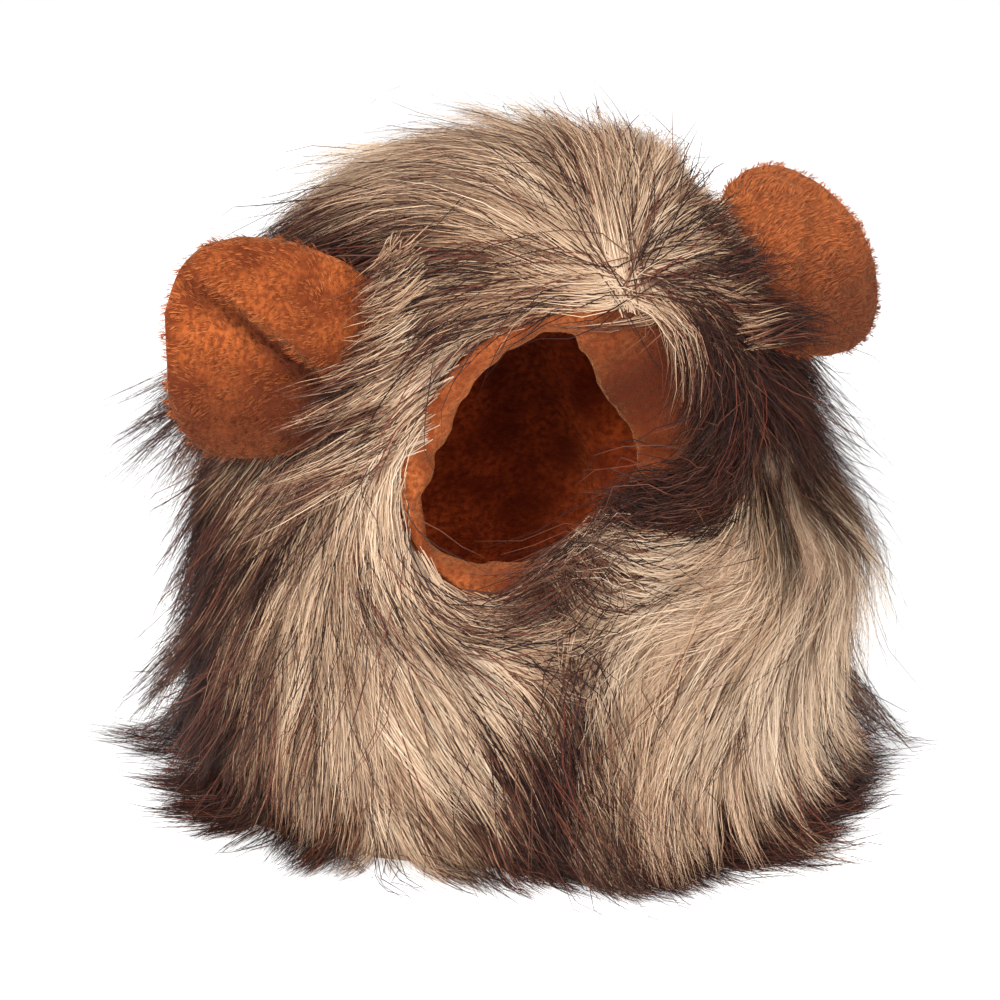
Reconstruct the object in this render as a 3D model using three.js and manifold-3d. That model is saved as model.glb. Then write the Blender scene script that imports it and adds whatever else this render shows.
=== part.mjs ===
// A lion mane hood for a cat or a small dog, standing on its hem with the face opening towards -Y.
// A plush lining is the inner wall. The mane is long-pile fur: a backing with a dense undercoat, and
// locks fused to it. Its two ends overlap under the chin, on a plain closure tab. A gathered binding
// edges the face opening, and two padded ears stand in pockets of the fur.
// Millimetres, +Z up, +X towards the wearer's left. The origin is the middle of the footprint.

import * as THREE from "three";
import { mergeVertices } from "three/addons/utils/BufferGeometryUtils.js";
import Module from "manifold-3d";

const wasm = await Module();
wasm.setup();

// The sewing surface, between the lining and the backing of the fur
const HOOD_HEIGHT = 174;
const HEM_HALF_WIDTH = 76;
const HEM_FRONT_DEPTH = 63;
const HEM_BACK_DEPTH = 72;
const CROWN_FORWARD = 16;
const CROWN_SIDEWAYS = -3;
const SLUMP = 5;

// Cloth and fur
const LINING_WALL = 2;
const LINING_HEM_LIFT = 1;
const BACKING = 2;
const UNDERCOAT = 11;
const RIM_UNDERCOAT = 3;
const RIM_RAMP = 30;
const SEAM_GAP = 0.3;

// The face opening, an oval whose long axis leans, and its gathered binding
const FACE_LENGTH = 88;
const FACE_BREADTH = 70;
const FACE_LEAN = 42;
const FACE_SHIFT = -9;
const FACE_CENTRE = 111;
const BINDING_WIDTH = 9;
const BINDING_GAP = 0.5;
const BINDING_WALL = 2.2;
const BINDING_EDGE = 4;
const GATHERS = 17;
const GATHER_DEPTH = 1.1;

// The chin closure: the flap's free edge, its step, and the slit that the tab lies in
const FLAP_HEIGHT = 82;
const FLAP_EDGE_TOP = 24;
const FLAP_EDGE_HEM = -10;
const FLAP_END = 82;
const FLAP_STEP = 14;
const UNDERLAP_WALL = 4.5;
const SLIT_REACH = 26;
const TAB_WALL = 2.2;
const TAB_WIDTH = 18;
const TAB_HEIGHT = 32;
const TAB_FOOT = 24;
const TAB_INSET = 5;
const TAB_CLEARANCE = 0.7;

// The ears, each a padded lobe with a fold
const EAR_WIDTH = 62;
const EAR_LENGTH = 58;
const EAR_THICKNESS = 9;
const EAR_BOW = 8;
const EAR_FOLD_DEPTH = 3.4;
const EAR_FOLD_WIDTH = 6;
const EAR_ROOT_DEPTH = 1.5;
const EAR_CLEARANCE = 0.4;

// Where each ear stands: `sweep` turns it backwards, `droop` lowers its rim, `nod` leans its upper edge
// forwards, all in degrees
const EARS = [
  { name: "ear_left", side: 1, azimuth: 52, rise: 0.8, sweep: 80, droop: 2, nod: 36 },
  { name: "ear_right", side: -1, azimuth: 50, rise: 0.81, sweep: 56, droop: 0, nod: 6 },
];
const EAR_BED_DEPTH = 0.75;
const EAR_BED_REACH = 30;

// The whorl from which the fur is combed, and how soon it hangs straight down
const WHORL_AZIMUTH = 16;
const WHORL_RISE = 0.9;
const COMB_REACH = 130;
const FALL_NEAR_WHORL = 0.05;
const FALL_FAR = 0.8;

// Fineness of the meshes
const AROUND = 34;
const UPWARD = 11;
const LOCK_SIDES = 4;
const BINDING_STEPS = 4;
const BELOW_FLOOR = -0.04;

const FULL_TURN = 2 * Math.PI;
const DEGREE = Math.PI / 180;
const FLOOR_CUT = 400;

// Level sections of the hood from hem to crown, as shares of the sizes above
const SECTIONS = [
  { rise: 0.0, side: 1.0, front: 1.0, back: 1.0, lean: 0.0 },
  { rise: 0.18, side: 0.99, front: 1.02, back: 0.99, lean: 0.04 },
  { rise: 0.36, side: 0.97, front: 1.03, back: 0.96, lean: 0.12 },
  { rise: 0.53, side: 0.94, front: 0.99, back: 0.93, lean: 0.28 },
  { rise: 0.69, side: 0.87, front: 0.9, back: 0.88, lean: 0.48 },
  { rise: 0.82, side: 0.75, front: 0.74, back: 0.78, lean: 0.68 },
  { rise: 0.92, side: 0.55, front: 0.52, back: 0.6, lean: 0.84 },
  { rise: 0.98, side: 0.29, front: 0.27, back: 0.32, lean: 0.95 },
  { rise: 1.0, side: 0.0, front: 0.0, back: 0.0, lean: 1.0 },
];

// Soft folds that rise from the hem: where, how wide, how deep, and the share of the height they reach
const FOLD_DEPTH = 5;
const FOLDS = [
  { azimuth: -58, spread: 13, depth: 1.0, reach: 0.55 },
  { azimuth: -118, spread: 16, depth: 0.8, reach: 0.5 },
  { azimuth: 172, spread: 18, depth: 0.9, reach: 0.6 },
  { azimuth: 112, spread: 15, depth: 0.7, reach: 0.45 },
  { azimuth: 64, spread: 12, depth: 0.6, reach: 0.5 },
];

// The ear's outline from root to rim: half its width on the lower and the upper side of its axis
const EAR_OUTLINE = [
  { out: 0.0, lower: 0.6, upper: 0.6, plump: 0.75, fold: 0.5 },
  { out: 0.2, lower: 0.78, upper: 0.76, plump: 0.9, fold: 1.0 },
  { out: 0.42, lower: 0.93, upper: 0.93, plump: 1.0, fold: 1.0 },
  { out: 0.64, lower: 1.0, upper: 1.0, plump: 1.0, fold: 0.6 },
  { out: 0.82, lower: 0.95, upper: 0.94, plump: 0.9, fold: 0.1 },
  { out: 0.94, lower: 0.76, upper: 0.76, plump: 0.75, fold: 0.0 },
  { out: 1.0, lower: 0.42, upper: 0.44, plump: 0.45, fold: 0.0 },
];
const EAR_AROUND = 16;

// Rows of fur locks from hem to crown. Lengths, widths and thicknesses in millimetres, flare as a share
// of the length
const LOCK_ROWS = [
  { way: 0.12, count: 17, length: 44, width: 29, thickness: 11, flare: 0.2, turn: 0 },
  { way: 0.22, count: 16, length: 50, width: 30, thickness: 11, flare: 0.2, turn: 0 },
  { way: 0.32, count: 15, length: 50, width: 30, thickness: 11, flare: 0.2, turn: 0 },
  { way: 0.42, count: 14, length: 50, width: 30, thickness: 11, flare: 0.2, turn: 0 },
  { way: 0.53, count: 13, length: 50, width: 29, thickness: 11, flare: 0.18, turn: 0 },
  { way: 0.64, count: 11, length: 50, width: 28, thickness: 11, flare: 0.14, turn: 0 },
  { way: 0.75, count: 9, length: 52, width: 28, thickness: 10, flare: 0.08, turn: 0 },
  { way: 0.86, count: 7, length: 50, width: 27, thickness: 10, flare: 0.04, turn: 0 },
  { way: 0.95, count: 4, length: 44, width: 26, thickness: 9, flare: 0.02, turn: 0 },
];
// Single locks: long tufts that stick out, then those on the flap's edge, `turn` degrees off the fall
const SINGLE_LOCKS = [
  { azimuth: -106, way: 0.09, length: 62, width: 16, thickness: 6, flare: 0.55, turn: 0 },
  { azimuth: -112, way: 0.46, length: 54, width: 15, thickness: 6, flare: 0.62, turn: 0 },
  { azimuth: 60, way: 0.14, length: 52, width: 15, thickness: 6, flare: 0.5, turn: 0 },
  { azimuth: 100, way: 0.44, length: 46, width: 14, thickness: 6, flare: 0.34, turn: 0 },
  { azimuth: 24, way: 0.09, length: 44, width: 16, thickness: 7, flare: 0.5, turn: 0 },
  { azimuth: 0, way: 0.13, length: 38, width: 24, thickness: 12, flare: 0.12, turn: -14 },
  { azimuth: 8, way: 0.2, length: 40, width: 24, thickness: 12, flare: 0.1, turn: -22 },
  { azimuth: 18, way: 0.27, length: 42, width: 24, thickness: 12, flare: 0.08, turn: -30 },
];
// A lock's width along its length
const LOCK_TAPER = [
  { along: 0.0, girth: 0.7 },
  { along: 0.36, girth: 1.0 },
  { along: 0.72, girth: 0.66 },
];
const LOCK_ROOT_SHARE = 0.55;
const LOCK_TIP_HEIGHT = 1.2;
const LOCK_SWAY = 9;
const LOCK_SPREAD = 0.5;
const LOCK_BEND_MOST = 0.7;
const LOCK_LOOK_BELOW = 0.12;
const LUSH_LEAST = 0.6;
const EAR_BARE = 0.3;
const FACE_MARGIN = 1.15;
const FACE_TURN = 0.8;

// A smooth value between the rows of a table: column `name` at `share` of the way through the rows
function between(rows, name, share, mirrored = false) {
  const last = rows.length - 1;
  const at = share * last;
  const i = Math.min(Math.max(Math.floor(at), 0), last - 1);
  const t = at - i;
  const value = (k) => rows[k][name];
  const before = i > 0 ? value(i - 1) : 2 * value(0) - value(1);
  const beyond = mirrored ? -value(last - 1) : 2 * value(last) - value(last - 1);
  const after = i + 2 <= last ? value(i + 2) : beyond;
  const [a, b, c, d] = [before, value(i), value(i + 1), after];
  const slope = c - a + t * (2 * a - 5 * b + 4 * c - d + t * (3 * (b - c) + d - a));
  return b + 0.5 * t * slope;
}

function smooth(low, high, value) {
  return THREE.MathUtils.smoothstep(value, low, high);
}

// A turn in degrees brought to -180 to 180
function wrapped(degrees) {
  return THREE.MathUtils.euclideanModulo(degrees + 180, 360) - 180;
}

// How far the soft folds push the wall in, at an azimuth in degrees and a share of the height
function foldAt(azimuth, rise) {
  return FOLDS.reduce((sum, fold) => {
    const away = wrapped(azimuth - fold.azimuth) / fold.spread;
    const fade = 1 - smooth(0, fold.reach, rise);
    return sum + FOLD_DEPTH * fold.depth * fade * Math.exp(-away * away);
  }, 0);
}

// A point of the sewing surface: azimuth 0 is the front and 90 the wearer's left, way runs hem to crown
function seamPoint(azimuth, way) {
  const turn = azimuth * DEGREE;
  const rise = way < 0 ? way : between(SECTIONS, "rise", way);
  const column = (name) => between(SECTIONS, name, Math.max(way, 0), true);
  const lean = between(SECTIONS, "lean", Math.max(way, 0));
  const forward = Math.cos(turn);
  const depth = forward > 0 ? HEM_FRONT_DEPTH * column("front") : HEM_BACK_DEPTH * column("back");
  const fold = foldAt(azimuth, rise);
  const x = (HEM_HALF_WIDTH * column("side") - fold) * Math.sin(turn);
  const y = -(depth - fold) * forward;
  const tip = SLUMP * (x / HEM_HALF_WIDTH) * Math.max(rise, 0);
  return new THREE.Vector3(
    x + CROWN_SIDEWAYS * lean,
    y - CROWN_FORWARD * lean,
    HOOD_HEIGHT * rise + tip,
  );
}

function seamNormal(azimuth, way) {
  const crown = 0.985;
  const w = Math.min(way, crown);
  const turn = 0.5;
  const step = 0.004;
  const across = seamPoint(azimuth + turn, w).sub(seamPoint(azimuth - turn, w));
  const up = seamPoint(azimuth, w + step).sub(seamPoint(azimuth, w - step));
  const normal = across.cross(up).normalize();
  const straightUp = new THREE.Vector3(0, 0, 1);
  return way > crown ? normal.lerp(straightUp, (way - crown) / (1 - crown)).normalize() : normal;
}

function offSeam(azimuth, way, depth) {
  return seamPoint(azimuth, way).addScaledVector(seamNormal(azimuth, way), depth);
}

// The share of the way from hem to crown at which the seam reaches a share of the height
function wayAtRise(rise) {
  let [low, high] = [0, 1];
  for (let i = 0; i < 24; i += 1) {
    const middle = (low + high) / 2;
    if (between(SECTIONS, "rise", middle) < rise) low = middle;
    else high = middle;
  }
  return low;
}

// The face opening
const faceCentre = new THREE.Vector3(FACE_SHIFT, 0, FACE_CENTRE);

// 1 on the outline of the opening, less inside and more outside, seen from the front
function faceReach(point) {
  const lean = FACE_LEAN * DEGREE;
  const dx = point.x - faceCentre.x;
  const dz = point.z - faceCentre.z;
  const across = dx * Math.cos(lean) + dz * Math.sin(lean);
  const up = dz * Math.cos(lean) - dx * Math.sin(lean);
  return Math.hypot(across / (FACE_LENGTH / 2), up / (FACE_BREADTH / 2));
}

// The prism that cuts the opening through the front wall
function faceCutter() {
  const outline = new THREE.Shape();
  const [rx, rz] = [FACE_LENGTH / 2, FACE_BREADTH / 2];
  outline.absellipse(faceCentre.x, faceCentre.z, rx, rz, 0, FULL_TURN, false, FACE_LEAN * DEGREE);
  const depth = HEM_FRONT_DEPTH + CROWN_FORWARD + UNDERCOAT + LOCK_ROWS[0].length;
  const prism = new THREE.ExtrudeGeometry(outline, {
    depth,
    bevelEnabled: false,
    curveSegments: 28,
  });
  prism.rotateX(Math.PI / 2);
  prism.translate(0, -CROWN_FORWARD, 0);
  return prism;
}

// The frame in which an ear stands: its root, the way it points, its width and its front
function earFrame({ side, azimuth, rise, sweep, droop, nod }) {
  const way = wayAtRise(rise);
  const upright = new THREE.Vector3(0, 0, 1);
  const out = seamNormal(side * azimuth, way).setZ(0).normalize();
  out.applyAxisAngle(upright, side * sweep * DEGREE);
  const level = new THREE.Vector3().crossVectors(out, upright).multiplyScalar(-side);
  out.applyAxisAngle(level, -side * droop * DEGREE);
  const high = upright.addScaledVector(out, -upright.dot(out)).normalize();
  high.applyAxisAngle(out, -side * nod * DEGREE);
  const front = new THREE.Vector3().crossVectors(out, high).multiplyScalar(side);
  const root = offSeam(side * azimuth, way, SEAM_GAP + BACKING + EAR_ROOT_DEPTH);
  return { root, out, high, front };
}

// The middle of the thin fur in front of each ear
const earBeds = EARS.map((ear) => {
  const { root, out, front } = earFrame(ear);
  return root.addScaledVector(out, 0.25 * EAR_LENGTH).addScaledVector(front, EAR_THICKNESS);
});

// Thickness of the fur's dense part over the backing: thin at the face opening and in front of the
// ears, full elsewhere
function undercoatAt(azimuth, way) {
  const point = seamPoint(azimuth, way);
  const off = (faceReach(point) - 1) * (FACE_BREADTH / 2);
  const front = point.y < 0 ? smooth(0, RIM_RAMP, off) : 1;
  const bed = earBeds.reduce((most, middle) => {
    const near = middle.distanceTo(point) / EAR_BED_REACH;
    return Math.max(most, EAR_BED_DEPTH * Math.exp(-(near ** 4)));
  }, 0);
  return THREE.MathUtils.lerp(RIM_UNDERCOAT, UNDERCOAT, front * (1 - bed));
}

// The azimuth of the flap's free edge at a height, and how far the flap stands out there
function flapEdge(height) {
  const share = THREE.MathUtils.clamp(height / FLAP_HEIGHT, 0, 1.2);
  return THREE.MathUtils.lerp(FLAP_EDGE_HEM, FLAP_EDGE_TOP, share ** 2);
}

function flapRise(azimuth, way) {
  const height = seamPoint(azimuth, way).z;
  const past = azimuth - flapEdge(height);
  const sideways = smooth(0, 4, past) * (1 - smooth(SLIT_REACH, FLAP_END - FLAP_EDGE_HEM, past));
  return FLAP_STEP * sideways * (1 - smooth(0.8 * FLAP_HEIGHT, 1.1 * FLAP_HEIGHT, height));
}

function furSurface(azimuth, way) {
  return SEAM_GAP + BACKING + undercoatAt(azimuth, way) + flapRise(azimuth, way);
}

function solidOf(geometry) {
  const bare = geometry.index ? geometry.toNonIndexed() : geometry.clone();
  bare.deleteAttribute("normal");
  bare.deleteAttribute("uv");
  const merged = mergeVertices(bare, 1e-3);
  return new wasm.Manifold(
    new wasm.Mesh({
      numProp: 3,
      vertProperties: merged.attributes.position.array,
      triVerts: new Uint32Array(merged.index.array),
    }),
  );
}

function geometryOf(solid) {
  const mesh = solid.getMesh();
  const geometry = new THREE.BufferGeometry();
  geometry.setAttribute("position", new THREE.BufferAttribute(mesh.vertProperties, mesh.numProp));
  geometry.setIndex(new THREE.BufferAttribute(mesh.triVerts, 1));
  const shown = geometry.toNonIndexed();
  shown.computeVertexNormals();
  return shown;
}

function geometryFrom(points, faces) {
  const geometry = new THREE.BufferGeometry().setFromPoints(points);
  geometry.setIndex(faces.flat());
  return geometry;
}

// Two triangles for each place where ring i meets ring i + 1, both with `count` points
function ringFaces(i, count, closed = true) {
  const faces = [];
  for (let j = 0; j < (closed ? count : count - 1); j += 1) {
    const next = (j + 1) % count;
    const [a, b] = [i * count + j, i * count + next];
    faces.push([a, b, b + count], [a, b + count, a + count]);
  }
  return faces;
}

// A wall with the form of the hood between two depths off the seam, open at the hem
function hoodWall(innerDepth, outerDepth, crownDepths) {
  const ways = [BELOW_FLOOR];
  for (let i = 0; i < UPWARD; i += 1) ways.push(i / UPWARD);
  const ring = (way, depth) =>
    Array.from({ length: AROUND }, (_, j) => {
      const azimuth = (360 * j) / AROUND - 180;
      return offSeam(azimuth, way, depth(azimuth, way));
    });
  const rings = [
    ...ways.toReversed().map((way) => ring(way, innerDepth)),
    ...ways.map((way) => ring(way, outerDepth)),
  ];
  const points = rings.flat();
  const faces = [];
  for (let i = 0; i < rings.length - 1; i += 1) faces.push(...ringFaces(i, AROUND));
  const [inside, outside] = crownDepths.map((depth) => offSeam(0, 1, depth));
  const [first, last] = [points.push(inside) - 1, points.push(outside) - 1];
  const top = (rings.length - 1) * AROUND;
  for (let j = 0; j < AROUND; j += 1) {
    const next = (j + 1) % AROUND;
    faces.push([first, next, j], [last, top + j, top + next]);
  }
  return solidOf(geometryFrom(points, faces));
}

// A slab that follows the hood: between two azimuths that may change with height, two heights and
// two depths
function hoodPatch(azimuths, heights, depths, columns = 6, rows = 8) {
  const layer = (depth) => {
    const points = [];
    for (let i = 0; i <= rows; i += 1) {
      const height = THREE.MathUtils.lerp(heights[0], heights[1], i / rows);
      const way = height < 0 ? height / HOOD_HEIGHT : wayAtRise(height / HOOD_HEIGHT);
      const [from, to] = azimuths(height);
      for (let j = 0; j <= columns; j += 1) {
        points.push(offSeam(THREE.MathUtils.lerp(from, to, j / columns), way, depth));
      }
    }
    return points;
  };
  const wide = columns + 1;
  const size = wide * (rows + 1);
  const faces = [];
  for (let i = 0; i < rows; i += 1) {
    for (const [a, b, c] of ringFaces(i, wide, false)) {
      faces.push([a, c, b], [size + a, size + b, size + c]);
    }
  }
  const rim = [];
  for (let j = 0; j < columns; j += 1) rim.push(j);
  for (let i = 0; i < rows; i += 1) rim.push(i * wide + columns);
  for (let j = columns; j > 0; j -= 1) rim.push(rows * wide + j);
  for (let i = rows; i > 0; i -= 1) rim.push(i * wide);
  rim.forEach((a, k) => {
    const b = rim[(k + 1) % rim.length];
    faces.push([a, b, size + b], [a, size + b, size + a]);
  });
  return solidOf(geometryFrom([...layer(depths[0]), ...layer(depths[1])], faces));
}

// Everything below a level
function belowLevel(level) {
  const slab = new THREE.BoxGeometry(FLOOR_CUT, FLOOR_CUT, FLOOR_CUT);
  slab.translate(0, 0, level - FLOOR_CUT / 2);
  return solidOf(slab);
}

// Where a point of the opening's outline meets the front of the seam surface
function frontSeam(x, z) {
  let way = wayAtRise(z / HOOD_HEIGHT);
  let azimuth = 0;
  for (let i = 0; i < 30; i += 1) {
    const centre = CROWN_SIDEWAYS * between(SECTIONS, "lean", way);
    const half = HEM_HALF_WIDTH * between(SECTIONS, "side", way, true);
    azimuth = Math.asin(THREE.MathUtils.clamp((x - centre) / half, -1, 1)) / DEGREE;
    const miss = (z - seamPoint(azimuth, way).z) / HOOD_HEIGHT;
    way = THREE.MathUtils.clamp(way + miss, 0, 1);
  }
  return seamPoint(azimuth, way);
}

// A gathered band round the opening, thicker at its inner edge, where the elastic runs
function makeBinding() {
  const count = GATHERS * BINDING_STEPS;
  const lean = FACE_LEAN * DEGREE;
  const section = [
    { inward: 0.0, wall: BINDING_WALL, front: 0.5 },
    { inward: 0.0, wall: BINDING_WALL, front: -0.5 },
    { inward: 0.85, wall: BINDING_EDGE, front: -0.5 },
    { inward: 1.0, wall: BINDING_EDGE, front: 0.0 },
    { inward: 0.85, wall: BINDING_EDGE, front: 0.5 },
  ];
  const points = [];
  for (let i = 0; i < count; i += 1) {
    const turn = (FULL_TURN * i) / count;
    const across = (FACE_LENGTH / 2 - BINDING_GAP) * Math.cos(turn);
    const up = (FACE_BREADTH / 2 - BINDING_GAP) * Math.sin(turn);
    const x = faceCentre.x + across * Math.cos(lean) - up * Math.sin(lean);
    const z = faceCentre.z + across * Math.sin(lean) + up * Math.cos(lean);
    const rim = frontSeam(x, z);
    const inward = new THREE.Vector3(faceCentre.x - x, 0, faceCentre.z - z).normalize();
    const wave = Math.cos((FULL_TURN * i) / BINDING_STEPS);
    for (const corner of section) {
      const width = BINDING_WIDTH * corner.inward * (1 + 0.08 * wave * corner.inward);
      const depth = corner.wall * corner.front + GATHER_DEPTH * wave * corner.inward;
      const at = rim.clone().addScaledVector(inward, width);
      at.y -= depth;
      points.push(at);
    }
  }
  const faces = [];
  for (let i = 0; i < count; i += 1) {
    for (const face of ringFaces(i, section.length)) {
      faces.push(face.map((k) => k % points.length));
    }
  }
  return solidOf(geometryFrom(points, faces));
}

// A padded lobe lofted from root to rim. `swell` makes it larger on all sides, for its pocket
function makeEar(ear, swell = 0) {
  const { root, out, high, front } = earFrame(ear);
  const points = [];
  for (const row of EAR_OUTLINE) {
    const along = row.out * EAR_LENGTH + (row.out < 0.5 ? -swell : swell);
    const half = EAR_WIDTH / 2;
    const fold = half * THREE.MathUtils.lerp(-0.05, 1.1, row.out);
    for (let j = 0; j < EAR_AROUND; j += 1) {
      const turn = (FULL_TURN * j) / EAR_AROUND;
      const share = Math.cos(turn);
      const width = half * (share > 0 ? row.upper : row.lower) + swell;
      const plump = (EAR_THICKNESS / 2) * row.plump + swell;
      const across = share * width;
      const bow = EAR_BOW * row.out * (1 - (across / half) ** 2);
      const near = (across - fold) / EAR_FOLD_WIDTH;
      const crease = Math.sin(turn) > 0 ? EAR_FOLD_DEPTH * row.fold * Math.exp(-near * near) : 0;
      const depth = plump * Math.sin(turn) + bow - (swell ? 0 : crease);
      const at = root.clone().addScaledVector(out, along);
      points.push(at.addScaledVector(high, across).addScaledVector(front, depth));
    }
  }
  const faces = [];
  const rings = EAR_OUTLINE.length;
  for (let i = 0; i < rings - 1; i += 1) faces.push(...ringFaces(i, EAR_AROUND));
  const top = (rings - 1) * EAR_AROUND;
  for (let j = 1; j < EAR_AROUND - 1; j += 1) {
    faces.push([0, j + 1, j], [top, top + j, top + j + 1]);
  }
  const outwards = ear.side < 0 ? faces.map((face) => face.toReversed()) : faces;
  return solidOf(geometryFrom(points, outwards));
}

// The way the fur lies: away from the whorl and from the face, and further off more downwards
const whorl = seamPoint(WHORL_AZIMUTH, wayAtRise(WHORL_RISE));

function fallAt(point, normal) {
  const away = point.clone().sub(whorl);
  const share = smooth(0, COMB_REACH, away.length());
  const weight = THREE.MathUtils.lerp(FALL_NEAR_WHORL, FALL_FAR, share);
  const fall = away.normalize().multiplyScalar(1 - weight);
  fall.z -= weight;
  if (point.y < 0) {
    const aside = point.clone().sub(faceCentre).setY(0).normalize();
    fall.addScaledVector(aside, FACE_TURN * (1 - smooth(1, 1.7, faceReach(point))));
  }
  return fall.addScaledVector(normal, -fall.dot(normal)).normalize();
}

// How strongly the seam surface curves away in a direction, per millimetre
function bendAt(azimuth, way, direction) {
  const w = Math.min(way, 0.96);
  const here = seamPoint(azimuth, w);
  const across = seamPoint(azimuth + 1, w).sub(here);
  const up = seamPoint(azimuth, w + 0.01).sub(here);
  const [aa, bb, ab] = [across.dot(across), up.dot(up), across.dot(up)];
  const [da, db] = [across.dot(direction), up.dot(direction)];
  const scale = aa * bb - ab * ab;
  const turn = (da * bb - db * ab) / scale;
  const climb = (0.01 * (db * aa - da * ab)) / scale;
  const step = 4;
  const beyond = seamNormal(azimuth + turn * step, w + climb * step);
  return Math.max(0, beyond.sub(seamNormal(azimuth, w)).dot(direction) / step);
}

// One lock: rings along a curve from its root in the undercoat, then a pointed tip
function makeLock({ azimuth, way, length, width, thickness, flare, turn }) {
  const normal = seamNormal(azimuth, way);
  const fur = Math.max(furSurface(azimuth, way), furSurface(azimuth, way - LOCK_LOOK_BELOW));
  const root = offSeam(azimuth, way, furSurface(azimuth, way) * LOCK_ROOT_SHARE);
  const fall = fallAt(root, normal).applyAxisAngle(normal, turn * DEGREE);
  const lift = fur * (1 - LOCK_ROOT_SHARE);
  const drop = Math.min(bendAt(azimuth, way, fall) * length, LOCK_BEND_MOST) * (length / 2);
  const middle = root.clone().addScaledVector(fall, length / 2);
  middle.addScaledVector(normal, lift + (flare * length) / 2);
  const tip = root.clone().addScaledVector(fall, length);
  tip.addScaledVector(normal, lift + flare * length - drop);
  if (tip.z < LOCK_TIP_HEIGHT) {
    const outward = new THREE.Vector3(normal.x, normal.y, 0).normalize();
    tip.addScaledVector(outward, LOCK_SPREAD * (LOCK_TIP_HEIGHT - tip.z));
    tip.z = LOCK_TIP_HEIGHT;
  }
  middle.z = Math.max(middle.z, thickness / 2);
  const path = new THREE.QuadraticBezierCurve3(root, middle, tip);
  const points = [];
  for (const { along, girth } of LOCK_TAPER) {
    const centre = path.getPoint(along);
    const ahead = path.getTangent(along);
    const across = new THREE.Vector3().crossVectors(ahead, normal).normalize();
    const up = new THREE.Vector3().crossVectors(across, ahead);
    for (let j = 0; j < LOCK_SIDES; j += 1) {
      const turn = (FULL_TURN * j) / LOCK_SIDES;
      const at = centre.clone().addScaledVector(across, (girth * width * Math.cos(turn)) / 2);
      points.push(at.addScaledVector(up, (girth * thickness * Math.sin(turn)) / 2));
    }
  }
  const end = points.push(tip) - 1;
  const faces = [];
  const rings = LOCK_TAPER.length;
  for (let i = 0; i < rings - 1; i += 1) faces.push(...ringFaces(i, LOCK_SIDES));
  const top = (rings - 1) * LOCK_SIDES;
  for (let j = 0; j < LOCK_SIDES; j += 1) faces.push([top + j, top + ((j + 1) % LOCK_SIDES), end]);
  for (let j = 1; j < LOCK_SIDES - 1; j += 1) faces.push([0, j + 1, j]);
  const solid = solidOf(geometryFrom(points, faces));
  return solid.volume() < 0
    ? solidOf(geometryFrom(points, faces.map((face) => face.toReversed())))
    : solid;
}

// True where a lock would grow inside the face opening or out of an ear's root
function isBare(azimuth, way) {
  const point = seamPoint(azimuth, way);
  const inFace = point.y < 0 && faceReach(point) < FACE_MARGIN;
  const atEar = EARS.some((ear) => earFrame(ear).root.distanceTo(point) < EAR_WIDTH * EAR_BARE);
  return inFace || atEar;
}

function allLocks() {
  const locks = [];
  LOCK_ROWS.forEach((row, i) => {
    for (let k = 0; k < row.count; k += 1) {
      const sway = LOCK_SWAY * Math.sin(5 * k + 2 * i);
      const azimuth = wrapped((360 * (k + (i % 2) / 2)) / row.count + sway / 3);
      const way = row.way + 0.015 * Math.sin(3 * k + i);
      const lush = THREE.MathUtils.lerp(LUSH_LEAST, 1, undercoatAt(azimuth, way) / UNDERCOAT);
      const length = row.length * lush * (1 + 0.12 * Math.sin(7 * k + i));
      const [width, thickness] = [row.width * lush, row.thickness * lush];
      if (isBare(azimuth, way)) continue;
      locks.push({ ...row, azimuth, way, length, width, thickness });
    }
  });
  return [...locks, ...SINGLE_LOCKS].map(makeLock);
}

// The fur hood: wall and locks joined, then cut for the face, the ears, the closure and the floor
function makeMane(floor, opening) {
  const wall = hoodWall(() => SEAM_GAP, furSurface, [SEAM_GAP, SEAM_GAP + BACKING + UNDERCOAT]);
  const furred = allLocks().reduce((body, lock) => body.add(lock), wall);
  const pockets = EARS.map((ear) => {
    return makeEar(ear, EAR_CLEARANCE).subtract(hoodFilled(SEAM_GAP + BACKING));
  });
  return furred
    .subtract(hoodFilled(SEAM_GAP))
    .subtract(opening)
    .subtract(pockets[0])
    .subtract(pockets[1])
    .subtract(closureSlit())
    .subtract(floor);
}

// All that lies inside a depth off the seam, filled
function hoodFilled(depth) {
  const ways = [2 * BELOW_FLOOR];
  for (let i = 0; i < UPWARD; i += 1) ways.push(i / UPWARD);
  const points = ways.flatMap((way) =>
    Array.from({ length: AROUND }, (_, j) => offSeam((360 * j) / AROUND - 180, way, depth)),
  );
  const faces = [];
  for (let i = 0; i < ways.length - 1; i += 1) faces.push(...ringFaces(i, AROUND));
  const crown = points.push(offSeam(0, 1, depth)) - 1;
  const top = (ways.length - 1) * AROUND;
  for (let j = 0; j < AROUND; j += 1) faces.push([top + j, top + ((j + 1) % AROUND), crown]);
  for (let j = 1; j < AROUND - 1; j += 1) faces.push([0, j + 1, j]);
  return solidOf(geometryFrom(points, faces));
}

// The slit between the two overlapping ends of the fur, open at the flap's edge
function closureSlit() {
  const from = UNDERLAP_WALL;
  const to = from + TAB_WALL + 2 * TAB_CLEARANCE;
  const azimuths = (height) => [flapEdge(height) - 3, flapEdge(height) + SLIT_REACH];
  return hoodPatch(azimuths, [BELOW_FLOOR * HOOD_HEIGHT, 0.9 * FLAP_HEIGHT], [from, to], 4, 6);
}

function makeTab() {
  const from = UNDERLAP_WALL + TAB_CLEARANCE;
  const width = TAB_WIDTH / (HEM_FRONT_DEPTH * DEGREE);
  const azimuths = (height) => {
    const start = flapEdge(height) + TAB_INSET;
    return [start, start + width];
  };
  const heights = [TAB_FOOT, TAB_FOOT + TAB_HEIGHT];
  return hoodPatch(azimuths, heights, [from, from + TAB_WALL], 3, 4);
}

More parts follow.
